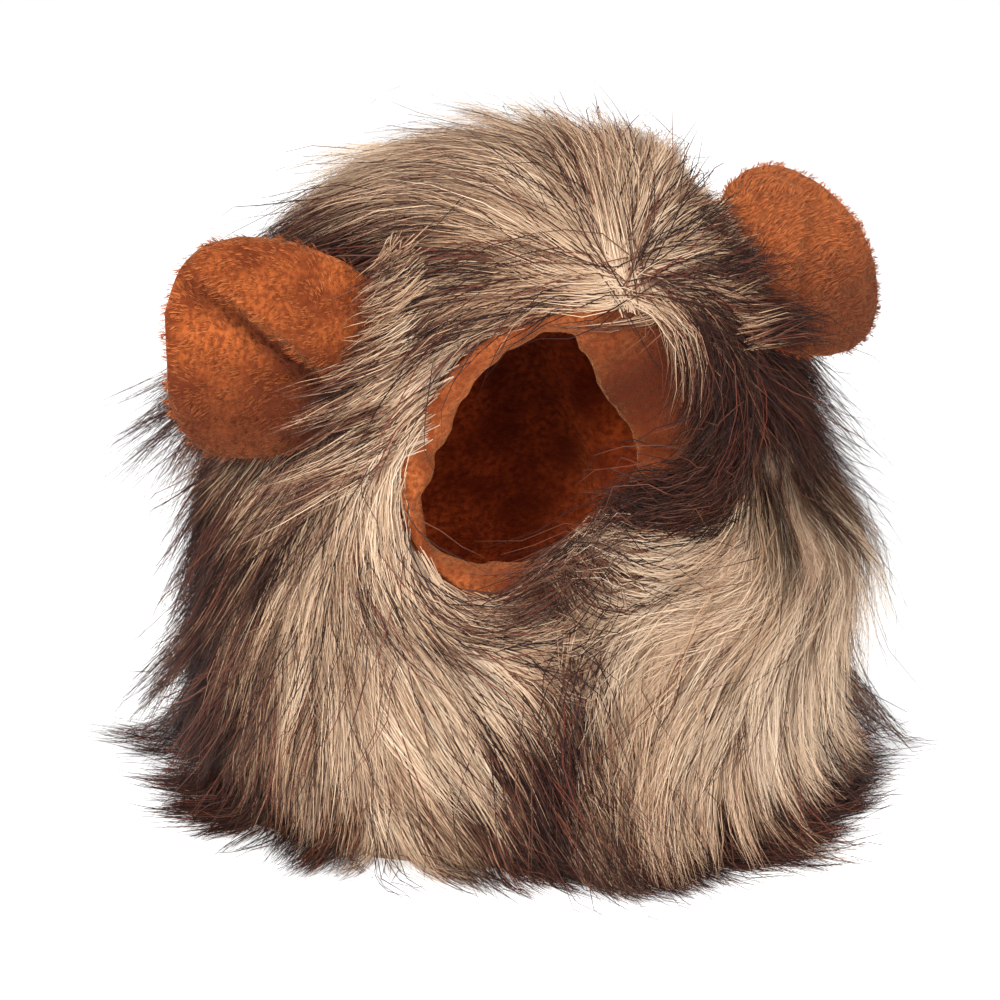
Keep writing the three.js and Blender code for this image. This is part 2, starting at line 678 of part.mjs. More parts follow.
function makeLining(opening) {
  const wall = hoodWall(() => -LINING_WALL, () => 0, [-LINING_WALL, 0]);
  return wall.subtract(opening).subtract(belowLevel(LINING_HEM_LIFT));
}

const plush = new THREE.MeshStandardMaterial({ color: "#b8601f", roughness: 0.95 });
const liningPlush = new THREE.MeshStandardMaterial({ color: "#9a4a16", roughness: 0.95 });
const fur = new THREE.MeshStandardMaterial({ color: "#8a7560", roughness: 0.9 });
const hookTape = new THREE.MeshStandardMaterial({ color: "#3c2a22", roughness: 0.9 });

function named(name, solid, material) {
  const mesh = new THREE.Mesh(geometryOf(solid), material);
  mesh.name = name;
  return mesh;
}

const opening = solidOf(faceCutter());
const earSeat = hoodFilled(SEAM_GAP + BACKING + EAR_CLEARANCE);
const wig = new THREE.Group();
wig.name = "lion_mane_wig";
wig.add(
  named("mane", makeMane(belowLevel(0), opening), fur),
  named("lining", makeLining(opening), liningPlush),
  named("face_binding", makeBinding(), plush),
  ...EARS.map((ear) => named(ear.name, makeEar(ear).subtract(earSeat), plush)),
  named("chin_closure", makeTab(), hookTape),
);

// The origin is put at the middle of the footprint
const middle = new THREE.Box3().setFromObject(wig).getCenter(new THREE.Vector3());
wig.position.set(-middle.x, -middle.y, 0);

export default wig;
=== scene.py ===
# %% [markdown]
# # A lion mane hood for a small pet
# The hood is a dome of long-pile fur fabric with a plush lining. It stands on its own hem. A gathered
# plush binding edges the face opening, and two padded plush ears stand in the fur. Below the face one
# end of the fur laps over the other as a flap. The solids of the hood are already there as a frame, so
# this lesson dresses them: each section says what a piece is on the real hood and how it is made here.

# %% The frame
import math

import bmesh
import bpy
import numpy as np
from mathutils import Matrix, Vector
from mathutils.bvhtree import BVHTree


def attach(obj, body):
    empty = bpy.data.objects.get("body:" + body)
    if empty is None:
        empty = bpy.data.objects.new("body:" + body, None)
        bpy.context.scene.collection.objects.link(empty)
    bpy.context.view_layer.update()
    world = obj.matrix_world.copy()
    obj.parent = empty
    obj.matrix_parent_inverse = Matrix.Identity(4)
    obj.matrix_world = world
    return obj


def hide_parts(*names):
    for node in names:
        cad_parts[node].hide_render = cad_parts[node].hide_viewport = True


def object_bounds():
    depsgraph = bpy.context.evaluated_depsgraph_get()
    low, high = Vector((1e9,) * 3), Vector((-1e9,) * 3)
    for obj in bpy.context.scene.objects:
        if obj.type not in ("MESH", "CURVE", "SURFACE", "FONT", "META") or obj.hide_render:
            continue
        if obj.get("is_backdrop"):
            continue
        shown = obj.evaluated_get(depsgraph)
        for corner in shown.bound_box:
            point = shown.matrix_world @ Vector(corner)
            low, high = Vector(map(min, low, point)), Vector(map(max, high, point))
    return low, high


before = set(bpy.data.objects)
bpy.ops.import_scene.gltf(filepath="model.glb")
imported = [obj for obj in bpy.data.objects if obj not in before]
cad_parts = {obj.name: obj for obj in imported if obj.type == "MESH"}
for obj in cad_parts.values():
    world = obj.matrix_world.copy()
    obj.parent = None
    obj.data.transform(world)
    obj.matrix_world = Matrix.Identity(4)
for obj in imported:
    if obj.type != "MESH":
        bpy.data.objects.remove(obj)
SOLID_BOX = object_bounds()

MM = 0.001
print("solids", [round((b - a) * 1000, 1) for a, b in zip(*SOLID_BOX)], "mm")

# %% [markdown]
# ## The camera
# The photograph looks from the wearer's right and from a little above. The angle comes from how far
# the two ears stand apart and from how open the hem's ellipse is. A long lens from 0.8 m keeps the
# near ear only a little larger than the far one.

# %% Camera
CAMERA_AZIMUTH = -20
CAMERA_ELEVATION = 20
CAMERA_DISTANCE = 0.8
CAMERA_LENS = 103
CAMERA_AIM = Vector((0.0074, 0.0092, 0.077))


def new_object(name, data):
    """An object in the scene that shows this data."""
    thing = bpy.data.objects.new(name, data)
    bpy.context.collection.objects.link(thing)
    return thing


def aimed(thing, target, azimuth, elevation, distance):
    """Sets a camera or a lamp at two angles and a distance from a target, and points it there."""
    a, e = math.radians(azimuth), math.radians(elevation)
    away = Vector((math.sin(a) * math.cos(e), -math.cos(a) * math.cos(e), math.sin(e)))
    thing.location = target + away * distance
    thing.rotation_mode = "QUATERNION"
    thing.rotation_quaternion = (-away).to_track_quat("-Z", "Y")


camera_data = bpy.data.cameras.new("camera")
camera_data.lens = CAMERA_LENS
camera_data.sensor_width = 36
camera = new_object("camera", camera_data)
aimed(camera, CAMERA_AIM, CAMERA_AZIMUTH, CAMERA_ELEVATION, CAMERA_DISTANCE)
bpy.context.scene.camera = camera
print("camera at", [round(c, 3) for c in camera.location])

# %% [markdown]
# ## Two small helpers for node trees
# Materials and Geometry Nodes are both node trees. A Wire is the output of a node, and sums on wires
# add Math nodes, so a mask can be written as an ordinary expression. Bench.add makes any other node:
# it takes the node's type, its settings, and what goes into its sockets.

# %% Wires and a bench


class Wire:
    """The output of a node. Arithmetic on it adds Math nodes to the same tree."""

    def __init__(self, socket):
        self.socket = socket

    def maths(self, operation, first, second=None, clamp=False):
        node = self.socket.id_data.nodes.new("ShaderNodeMath")
        node.operation = operation
        node.use_clamp = clamp
        for slot, value in zip(node.inputs, (first, second)):
            if isinstance(value, Wire):
                self.socket.id_data.links.new(value.socket, slot)
            elif value is not None:
                slot.default_value = value
        return Wire(node.outputs[0])

    def __add__(self, other):
        return self.maths("ADD", self, other)

    def __radd__(self, other):
        return self.maths("ADD", other, self)

    def __sub__(self, other):
        return self.maths("SUBTRACT", self, other)

    def __rsub__(self, other):
        return self.maths("SUBTRACT", other, self)

    def __mul__(self, other):
        return self.maths("MULTIPLY", self, other)

    def __rmul__(self, other):
        return self.maths("MULTIPLY", other, self)

    def __truediv__(self, other):
        return self.maths("DIVIDE", self, other)

    def __pow__(self, other):
        return self.maths("POWER", self, other)

    def clamped(self):
        return self.maths("ADD", self, 0.0, clamp=True)

    def ramp(self, low, high):
        """0 below low, 1 above high, and a straight line between them."""
        return ((self - low) / (high - low)).clamped()


class Bench:
    """A node tree on which nodes are set out and joined."""

    def __init__(self, tree):
        self.tree = tree

    def add(self, kind, settings=None, sockets=None):
        """Adds a node. Settings are set first, then sockets, each by its identifier or its number."""
        node = self.tree.nodes.new(kind)
        for name, value in (settings or {}).items():
            if name == "stops":
                self.set_stops(node.color_ramp, value)
            else:
                setattr(node, name, value)
        for key, value in (sockets or {}).items():
            slot = self.socket(node.inputs, key)
            if isinstance(value, Wire):
                self.tree.links.new(value.socket, slot)
            else:
                slot.default_value = value
        return node

    def socket(self, sockets, key):
        """A socket by its number, its identifier or its name."""
        if isinstance(key, int):
            return sockets[key]
        return next((s for s in sockets if s.identifier == key), None) or sockets[key]

    def wire(self, kind, settings=None, sockets=None, out=0):
        """Adds a node and gives one of its outputs as a Wire."""
        return Wire(self.socket(self.add(kind, settings, sockets).outputs, out))

    def attribute(self, name):
        """A number that the mesh carries at its points."""
        return self.wire("ShaderNodeAttribute", {"attribute_name": name}, out=2)

    def set_stops(self, ramp, stops):
        """The colours of a ramp and their places from 0 to 1."""
        while len(ramp.elements) < len(stops):
            ramp.elements.new(1.0)
        for element, (place, colour) in zip(ramp.elements, stops):
            element.position = place
            element.color = colour


def colour(red, green, blue):
    """A colour given as in a paint program, from 0 to 255, in the linear light that nodes use."""
    shares = (red / 255, green / 255, blue / 255)
    linear = [s / 12.92 if s <= 0.04 else ((s + 0.055) / 1.055) ** 2.4 for s in shares]
    return (*linear, 1.0)


# %% [markdown]
# ## The sewing surface
# Every piece of the hood follows one surface, the seam between lining and fur. The solids use the same
# table, so it is repeated here: level sections from hem to crown, as shares of the hood's sizes. The
# surface is made once as a fine grid of points with their normals, and a search tree finds the nearest
# place on it, which is how each hair is kept on the hood, also over the crown.

# %% The hood's surface
HOOD_AXIS = np.array([10.4, 9.2, 0.0]) * MM
HOOD_HEIGHT = 174 * MM
HEM_HALF_WIDTH = 76 * MM
HEM_FRONT_DEPTH = 63 * MM
HEM_BACK_DEPTH = 72 * MM
CROWN_FORWARD = 16 * MM
CROWN_SIDEWAYS = -3 * MM
SLUMP = 5 * MM
FOLD_DEPTH = 5 * MM

SECTIONS = {
    "rise": [0.0, 0.18, 0.36, 0.53, 0.69, 0.82, 0.92, 0.98, 1.0],
    "side": [1.0, 0.99, 0.97, 0.94, 0.87, 0.75, 0.55, 0.29, 0.0],
    "front": [1.0, 1.02, 1.03, 0.99, 0.9, 0.74, 0.52, 0.27, 0.0],
    "back": [1.0, 0.99, 0.96, 0.93, 0.88, 0.78, 0.6, 0.32, 0.0],
    "lean": [0.0, 0.04, 0.12, 0.28, 0.48, 0.68, 0.84, 0.95, 1.0],
}
FOLDS = [
    {"azimuth": -58, "spread": 13, "depth": 1.0, "reach": 0.55},
    {"azimuth": -118, "spread": 16, "depth": 0.8, "reach": 0.5},
    {"azimuth": 172, "spread": 18, "depth": 0.9, "reach": 0.6},
    {"azimuth": 112, "spread": 15, "depth": 0.7, "reach": 0.45},
    {"azimuth": 64, "spread": 12, "depth": 0.6, "reach": 0.5},
]


def smooth(low, high, value):
    """0 below low, 1 above high, and an easy curve between them."""
    share = np.clip((value - low) / (high - low), 0, 1)
    return share * share * (3 - 2 * share)


def apart(angle, place):
    """How far an angle is past a place, in degrees, from -180 to 180."""
    return (angle - place + 180) % 360 - 180


def fading(points, place, reach):
    """1 at a place, and less further off: about a third at the reach."""
    return np.exp(-((np.linalg.norm(points - place, axis=-1) / reach) ** 2))


def section(name, way, mirrored=False):
    """A column of the table at a share of the way from hem to crown, on a smooth curve."""
    rows = SECTIONS[name]
    beyond = -rows[-2] if mirrored else 2 * rows[-1] - rows[-2]
    points = np.array([2 * rows[0] - rows[1], *rows, beyond])
    at = np.clip(way, 0, 1) * (len(rows) - 1)
    i = np.clip(np.floor(at).astype(int), 0, len(rows) - 2)
    t = at - i
    a, b, c, d = (points[i + k] for k in range(4))
    return b + 0.5 * t * (c - a + t * (2 * a - 5 * b + 4 * c - d + t * (3 * (b - c) + d - a)))


def seam_points(azimuth, way):
    """Points of the sewing surface. Azimuth 0 is the front and 90 the wearer's left, in degrees."""
    rise = section("rise", way)
    lean = section("lean", way)
    fold = np.zeros_like(rise + azimuth)
    for row in FOLDS:
        away = apart(azimuth, row["azimuth"]) / row["spread"]
        fold += FOLD_DEPTH * row["depth"] * (1 - smooth(0, row["reach"], rise)) * np.exp(-away * away)
    turn = np.radians(azimuth)
    front, rear = section("front", way, True), section("back", way, True)
    depth = np.where(np.cos(turn) > 0, HEM_FRONT_DEPTH * front, HEM_BACK_DEPTH * rear)
    x = (HEM_HALF_WIDTH * section("side", way, True) - fold) * np.sin(turn)
    y = -(depth - fold) * np.cos(turn)
    z = HOOD_HEIGHT * rise + SLUMP * (x / HEM_HALF_WIDTH) * rise
    points = np.stack([x + CROWN_SIDEWAYS * lean, y - CROWN_FORWARD * lean, z], axis=-1)
    return points + HOOD_AXIS


def seam_normals(azimuth, way):
    """The outward ways of the sewing surface. They turn straight up over the last bit of the crown."""
    w = np.minimum(way, 0.985)
    across = seam_points(azimuth + 0.5, w) - seam_points(azimuth - 0.5, w)
    up = seam_points(azimuth, w + 0.004) - seam_points(azimuth, w - 0.004)
    normal = np.cross(across, up)
    normal /= np.linalg.norm(normal, axis=-1, keepdims=True)
    share = np.clip((way - 0.985) / 0.015, 0, 1)[..., None]
    normal = normal * (1 - share) + np.array([0, 0, 1]) * share
    return normal / np.linalg.norm(normal, axis=-1, keepdims=True)


def way_at(rise):
    """The share of the way from hem to crown at a share of the height."""
    ways = np.linspace(0, 1, 801)
    return np.interp(rise, section("rise", ways), ways)


def seam_azimuth(places):
    """The azimuth of places on the seam, in degrees."""
    rise = places[:, 2] / HOOD_HEIGHT
    lean = np.interp(rise, SECTIONS["rise"], SECTIONS["lean"])
    side = np.interp(rise, SECTIONS["rise"], SECTIONS["side"])
    x = (places[:, 0] - HOOD_AXIS[0] - CROWN_SIDEWAYS * lean) / (HEM_HALF_WIDTH * np.maximum(side, 0.05))
    y = places[:, 1] - HOOD_AXIS[1] + CROWN_FORWARD * lean
    depth = np.where(y < 0, HEM_FRONT_DEPTH, HEM_BACK_DEPTH) * np.maximum(side, 0.05)
    return np.degrees(np.arctan2(x, -y / depth))


print("hem", 2 * HEM_HALF_WIDTH / MM, "mm wide, crown", HOOD_HEIGHT / MM, "mm high")

# %% [markdown]
# ## The openings in the surface
# The face opening is an oval with a leaning long axis, seen from the front. Fur lies thin at its edge
# and in front of each ear, and thick elsewhere. The flap below the face stands out over the rest, with
# a valley along its free edge.

# %% Face, ears and flap
FACE_LENGTH = 88 * MM
FACE_BREADTH = 70 * MM
FACE_LEAN = math.radians(42)
FACE_CENTRE = np.array([-9.0, 0.0, 111.0]) * MM + HOOD_AXIS
BACKING = 2.3 * MM
PILE = 18 * MM
RIM_PILE = 6 * MM
RIM_RAMP = 30 * MM
FLAP_HEIGHT = 82 * MM
FLAP_STEP = 18 * MM
FULL_PLACES = [
    # azimuth, rise, reach in mm, how much deeper the pile is there, in mm
    (-88, 0.2, 44, 10.0), (-96, 0.55, 34, 7.0), (-104, 0.9, 30, 7.0), (92, 0.3, 48, 10.0),
    (70, 0.45, 26, 5.0), (50, 0.1, 30, 5.0), (170, 0.35, 60, 6.0), (0, 1.0, 34, 3.0),
    (-60, 0.96, 26, 4.0),
]
EAR_WIDTH = 62 * MM
EAR_LENGTH = 58 * MM
EAR_THICKNESS = 9 * MM
EARS = {
    "ear_left": {"side": 1, "azimuth": 52, "rise": 0.8, "sweep": 80, "droop": 2, "nod": 36},
    "ear_right": {"side": -1, "azimuth": 50, "rise": 0.81, "sweep": 56, "droop": 0, "nod": 6},
}


def face_place(points):
    """Where points lie along and across the opening's oval, as shares of its half sizes."""
    dx, dz = points[..., 0] - FACE_CENTRE[0], points[..., 2] - FACE_CENTRE[2]
    along = dx * math.cos(FACE_LEAN) + dz * math.sin(FACE_LEAN)
    across = dz * math.cos(FACE_LEAN) - dx * math.sin(FACE_LEAN)
    return along / (FACE_LENGTH / 2), across / (FACE_BREADTH / 2)


def face_reach(points):
    """1 on the outline of the face opening, less inside and more outside, seen from the front."""
    return np.hypot(*face_place(points))


def face_gap(points):
    """How far points are from the outline of the face opening, less than 0 inside it."""
    return (face_reach(points) - 1) * FACE_BREADTH / 2


def in_front(points):
    return points[..., 1] < HOOD_AXIS[1]


def turned(vector, axis, degrees):
    """A vector turned about an axis."""
    a = math.radians(degrees)
    axis = axis / np.linalg.norm(axis)
    along = axis * (axis @ vector) * (1 - math.cos(a))
    return vector * math.cos(a) + np.cross(axis, vector) * math.sin(a) + along


def ear_frame(side, azimuth, rise, sweep, droop, nod):
    """An ear's root and the three ways it is measured in: out to its rim, up its width, to its front."""
    upright = np.array([0.0, 0.0, 1.0])
    place = np.array([side * azimuth]), np.array([way_at(rise)])
    normal = seam_normals(*place)[0]
    out = turned(np.array([normal[0], normal[1], 0.0]), upright, side * sweep)
    out /= np.linalg.norm(out)
    level = -side * np.cross(out, upright)
    out = turned(out, level, -side * droop)
    high = upright - out * (upright @ out)
    high = turned(high / np.linalg.norm(high), out, -side * nod)
    front = side * np.cross(out, high)
    root = seam_points(*place)[0] + normal * 3.8 * MM
    return root, out, high, front


EAR_FRAMES = {name: ear_frame(**row) for name, row in EARS.items()}


def flap_edge(height):
    """The azimuth of the flap's free edge at a height."""
    share = np.clip(height / FLAP_HEIGHT, 0, 1.2)
    return -10 + (24 + 10) * share**2


def flap_rise(azimuth, height):
    """How far the flap stands out over the fur beside it."""
    past = azimuth - flap_edge(height)
    sideways = smooth(0, 5, past) * (1 - smooth(30, 96, past))
    return FLAP_STEP * sideways * (1 - smooth(0.84 * FLAP_HEIGHT, 1.1 * FLAP_HEIGHT, height))


def pile_depth(points, azimuth):
    """How far the fur's outer surface stands off the seam."""
    front = np.where(in_front(points), smooth(0, RIM_RAMP, face_gap(points)), 1)
    bed = np.zeros_like(front)
    for root, out, _, facing in EAR_FRAMES.values():
        middle = root + out * 0.25 * EAR_LENGTH + facing * EAR_THICKNESS
        near = np.linalg.norm(points - middle, axis=-1) / (28 * MM)
        bed = np.maximum(bed, 0.7 * np.exp(-(near**4)))
    full = np.zeros_like(front)
    for at, rise, reach, more in FULL_PLACES:
        place = seam_points(np.array(float(at)), way_at(rise))
        full += more * MM * fading(points, place, reach * MM)
    depth = RIM_PILE + (PILE + full - RIM_PILE) * front * (1 - bed)
    return depth + flap_rise(azimuth, points[..., 2])


def ring_cell(ring, place, around, rings):
    """The corners of a face between a ring of points and the next, numbered ring by ring."""
    beside, above = (place + 1) % around, (ring + 1) % rings
    return (ring * around + place, ring * around + beside, above * around + beside, above * around + place)


GRID_AROUND, GRID_UP = 180, 90
grid_azimuth, grid_way = np.meshgrid(
    np.linspace(-180, 180, GRID_AROUND, endpoint=False), np.linspace(0, 0.999, GRID_UP), indexing="xy"
)
grid_points = seam_points(grid_azimuth, grid_way).reshape(-1, 3)
grid_normals = seam_normals(grid_azimuth, grid_way).reshape(-1, 3)
grid_depth = pile_depth(grid_points, grid_azimuth.reshape(-1))
grid_faces = [
    ring_cell(j, i, GRID_AROUND, GRID_UP) for j in range(GRID_UP - 1) for i in range(GRID_AROUND)
]
grid_tree = BVHTree.FromPolygons([Vector(p) for p in grid_points], grid_faces)
print("seam grid", len(grid_faces), "faces, fur", round(grid_depth.max() / MM, 1), "mm deep at most")


def on_seam(points):
    """For each point the nearest place on the seam: where it is, its normal and the fur's depth there."""
    places = np.empty_like(points)
    corners = np.empty((len(points), 4), dtype=int)
    for i, point in enumerate(points):
        place, _, face, _ = grid_tree.find_nearest(point)
        places[i] = place
        corners[i] = grid_faces[face]
    near = np.linalg.norm(grid_points[corners] - places[:, None], axis=-1)
    weight = 1 / (near + 0.2 * MM) ** 2
    weight /= weight.sum(axis=1, keepdims=True)
    normals = (grid_normals[corners] * weight[..., None]).sum(axis=1)
    normals /= np.linalg.norm(normals, axis=1, keepdims=True)
    depths = (grid_depth[corners] * weight).sum(axis=1)
    return places, normals, depths


# %% [markdown]
# ## How the fur lies
# Long fur is combed by hand, so its direction is a matter of looking. The table below holds strokes
# read off the real hood: where each is, and which way the hair runs there. Turn 0 is straight down,
# 90 runs towards the wearer's left and -90 towards the wearer's right. Between the strokes the hair
# takes a weighted mean of those nearby and of gravity. All strokes leave one whorl above the opening.

# %% Comb strokes
COMB_STROKES = [
    # azimuth, rise, turn
    # the crown and the whorl
    (12, 0.985, -97), (-53, 0.975, -40), (-77, 0.93, -36), (-29, 0.92, -80), (5, 0.925, -140),
    (-11, 0.87, -90), (2, 0.89, -95), (4, 0.84, -84), (12, 0.84, -62), (21, 0.85, 55),
    (27, 0.86, 75),
    (12, 0.945, 178), (22, 0.94, 145),
    # beside and below the opening, on the wearer's right
    (-32, 0.76, -52), (-29, 0.82, -58), (-50, 0.82, -50), (-56, 0.6, -32),
    (-43, 0.62, -22), (-41, 0.515, 12), (-34, 0.44, 55), (-18, 0.395, 66), (-10, 0.37, 40),
    (0, 0.4, -40),
    (-41, 0.36, 24), (-28, 0.25, 32), (-65, 0.27, -2), (-77, 0.38, -12), (-88, 0.26, -30),
    (-76, 0.15, -16), (-54, 0.1, 8), (-29, 0.1, 28), (-12, 0.09, 30), (-15, 0.25, 26),
    # the flap
    (9, 0.47, -66), (18, 0.42, -76), (26, 0.47, -70), (32, 0.46, -55), (0, 0.33, -35),
    (-5, 0.24, 0),
    (4, 0.24, -18), (14, 0.3, -38), (26, 0.28, -14), (32, 0.17, 26), (37, 0.06, 50), (10, 0.13, 2),
    (-2, 0.12, 8), (50, 0.45, -34), (38, 0.4, -46), (62, 0.36, 12), (66, 0.15, 26),
    # beside the opening, on the wearer's left
    (34, 0.87, 84), (54, 0.8, 66), (36, 0.79, 52), (27, 0.74, 46), (57, 0.65, 16), (40, 0.61, 6),
    (29, 0.94, 125), (47, 0.91, 92),
    # the sides and the back
    (-90, 0.87, -32), (-85, 0.7, -26), (90, 0.8, 24), (90, 0.5, 10), (180, 0.96, 0),
    (140, 0.93, 14),
    (-140, 0.93, -14), (180, 0.7, 0), (130, 0.6, 6), (-130, 0.6, -8), (180, 0.3, 0),
    (-130, 0.2, -6),
    (120, 0.2, 10),
]
STROKE_REACH = 15 * MM

def stroke_table():
    """The place of each stroke on the seam, and the way that it runs."""
    azimuth, rise, turn = np.array(COMB_STROKES, dtype=float).T
    way = way_at(rise)
    places, normals = seam_points(azimuth, way), seam_normals(azimuth, way)
    round_about = np.radians(azimuth)
    east = np.stack([np.cos(round_about), np.sin(round_about), 0 * azimuth], axis=-1)
    east -= normals * (normals * east).sum(axis=-1, keepdims=True)
    east /= np.linalg.norm(east, axis=-1, keepdims=True)
    down = np.cross(east, normals)
    turn = np.radians(turn)[:, None]
    return places, np.cos(turn) * down + np.sin(turn) * east


stroke_places, stroke_ways = stroke_table()


def comb(points, normals):
    """The way the hair runs at places on the seam, as unit vectors along it."""
    gap = np.linalg.norm(points[:, None] - stroke_places[None], axis=-1)
    weight = np.exp(-((gap / STROKE_REACH) ** 2)) + 0.02 * np.exp(-((gap / (3 * STROKE_REACH)) ** 2))
    way = (weight[..., None] * stroke_ways[None]).sum(axis=1)
    way += np.array([0, 0, -0.002])
    way -= normals * (way * normals).sum(axis=1, keepdims=True)
    return way / np.linalg.norm(way, axis=1, keepdims=True)


print("strokes", len(COMB_STROKES))

# %% [markdown]
# ## Where the pile is dark
# The pile is cream with dark tips, and some parts are dark from the root: the flanks, the cheek beside
# the opening, the roll over the flap, and the hem. A few patches on the wearer's right of the flap's free
# edge are painted shade, for the valley there. A table of round patches gives the places. A hair takes
# the tone of the patch that its root stands in.

# %% Dark patches
DARK_PATCHES = [
    # azimuth, rise, radius in mm, strength, which is below zero where the fur is at its palest
    (44, 0.7, 19, 1.0), (62, 0.68, 18, 0.8), (32, 0.64, 13, 1.0), (22, 0.55, 10, 0.95),
    (35, 0.6, 10, 0.9), (50, 0.64, 9, 0.7), (8, 0.46, 8, 0.6), (-89, 0.22, 20, 0.8),
    (-95, 0.5, 24, 0.8), (-106, 0.35, 30, 0.7), (-82, 0.08, 13, 0.5), (-74, 0.6, 11, 0.5),
    (-84, 0.92, 22, 0.55), (-100, 0.86, 24, 0.65), (-60, 0.92, 20, 0.4), (-20, 0.42, 8, 0.45),
    # the patches at azimuth -4 and about -20, from rise 0.12 to 0.34, are painted shade in the valley
    # beside the flap's free edge
    (-34, 0.47, 8, 0.5), (34, 0.05, 14, 0.6), (-4, 0.34, 7, 0.6), (-20, 0.3, 9, 0.75),
    (-21, 0.22, 9, 0.7), (-20, 0.12, 9, 0.6), (52, 0.82, 12, 0.5), (60, 0.72, 13, 0.5),
    (-56, 0.72, 9, 0.4), (27, 0.73, 9, 0.9), (100, 0.6, 26, 0.6), (96, 0.25, 24, 0.5),
    (150, 0.3, 28, 0.35), (-150, 0.4, 30, 0.45), (180, 0.75, 26, 0.3), (140, 0.8, 22, 0.35),
    (-60, 0.3, 8, 0.25), (10, 0.06, 12, 0.35), (-58, 0.2, 18, -0.5), (-44, 0.34, 15, -0.5),
    (-46, 0.12, 15, -0.35), (8, 1.0, 22, -0.18), (-38, 0.7, 15, -0.25), (14, 0.24, 14, -0.35),
    (34, 0.36, 16, -0.5), (56, 0.42, 16, -0.4), (60, 0.24, 18, -0.2), (38, 0.48, 12, -0.8),
    (24, 0.42, 10, -0.5), (52, 0.53, 9, -0.5), (25, 0.8, 8, 0.9), (20, 0.1, 12, 0.55),
    (-9, 0.85, 13, 0.32), (17, 0.86, 7, 0.22), (-42, 0.94, 15, 0.2),
]
HEM_DARK = 0.22
HEM_DARK_HEIGHT = 24 * MM
PALEST = -0.4

patch_azimuth, patch_rise, patch_radius, patch_strength = np.array(DARK_PATCHES, dtype=float).T
patch_places = seam_points(patch_azimuth, way_at(patch_rise))


def darkness(points):
    """From 0, cream with dark tips, to 1, dark from the root. Below 0 the tips are pale too."""
    near = np.linalg.norm(points[:, None] - patch_places[None], axis=-1) / (patch_radius * MM)
    patches = np.clip((patch_strength * np.exp(-(near**2))).sum(axis=1), PALEST, 0.92)
    hem = HEM_DARK * (1 - smooth(0, HEM_DARK_HEIGHT, points[:, 2]))
    return np.clip(patches + hem, PALEST, 1)


print("dark patches", len(DARK_PATCHES))

# %% [markdown]
# ## The edge of the opening
# Seen from the front, the fur lies over the sewn outline of the opening, more on some sides than on
# others, and the gathered band shows inside it. The table gives both edges round the opening as
# shares of the sewn outline: angle 0 is along the oval's long axis, up to the wearer's left.

# %% Fur edge and band edge
OPENING_EDGES = {
    "angle": [
        -180, -167, -150, -135, -120, -105, -90, -75, -60, -45, -30, -15,
        0, 12, 25, 43, 56, 70, 85, 103, 121, 141, 159, 172,
    ],
    "fur": [
        0.94, 0.88, 0.74, 0.62, 0.54, 0.48, 0.4, 0.32, 0.36, 0.5, 0.62, 0.66,
        0.76, 0.86, 0.88, 0.93, 0.97, 0.98, 0.96, 0.92, 0.87, 0.87, 0.92, 0.95,
    ],
    "band": [
        0.9, 0.84, 0.76, 0.72, 0.7, 0.68, 0.66, 0.66, 0.66, 0.58, 0.5, 0.46,
        0.46, 0.52, 0.6, 0.74, 0.77, 0.76, 0.75, 0.71, 0.66, 0.72, 0.84, 0.92,
    ],
}


def opening_edge(name, angle):
    """One edge of the table at an angle in degrees, on a smooth closed curve."""
    places = np.array(OPENING_EDGES["angle"], dtype=float)
    values = np.array(OPENING_EDGES[name])
    total, weight = np.zeros_like(angle), np.zeros_like(angle)
    for place, value in zip(places, values):
        share = np.exp(-((apart(angle, place) / 9) ** 2))
        total += share * value
        weight += share
    return total / weight


def face_angle(points):
    """The angle round the opening, seen from the front, in degrees."""
    along, across = face_place(points)
    return np.degrees(np.arctan2(across, along))


print("fur edge from", min(OPENING_EDGES["fur"]), "to", max(OPENING_EDGES["fur"]), "of the outline")

# %% [markdown]
# ## Materials
# Fur, plush and tape are made from nodes. Each reads Object coordinates or the piece's own attributes.
# Fur has the tone of its strand: cream towards the root, brown in the middle and almost black at the
# tip, and the attributes say how far up the change comes. Near the root each strand is also darkened
# towards brown as painted shade. Plush is a short velvety pile, so it has a soft grain in its bump. Its
# colour is painted light and shade: noise mixes a lit and a shaded tone where the nap lies another way,
# the troughs between its tufts take the shaded tone, and an attribute darkens creases and shadowed places.

# %% Fur material
CREAM = colour(208, 180, 151)
# How far painted shade darkens the strands at their root.
PAINTED_ROOT_SHADE = 0.3
PALE = colour(226, 207, 184)
FAWN = colour(172, 136, 106)
BROWN = colour(100, 62, 46)
DARK = colour(36, 19, 16)
RUST = colour(92, 38, 28)


def new_material(name):
    material = bpy.data.materials.new(name)
    material.use_nodes = True
    material.node_tree.nodes.clear()
    return material, Bench(material.node_tree)


def mix(bench, share, first, second):
    """Two colours mixed by a share."""
    sockets = {"Factor_Float": share, "A_Color": first, "B_Color": second}
    return bench.wire("ShaderNodeMix", {"data_type": "RGBA"}, sockets, "Result_Color")


def painted(bench, base, roughness, specular, bump=None):
    """The shader of a surface, joined to the material's output. Gives its node, for further settings."""
    sockets = {"Base Color": base, "Roughness": roughness, "Specular IOR Level": specular}
    if bump is not None:
        sockets["Normal"] = bump
    shader = bench.add("ShaderNodeBsdfPrincipled", None, sockets)
    bench.add("ShaderNodeOutputMaterial", None, {"Surface": Wire(shader.outputs[0])})
    return shader


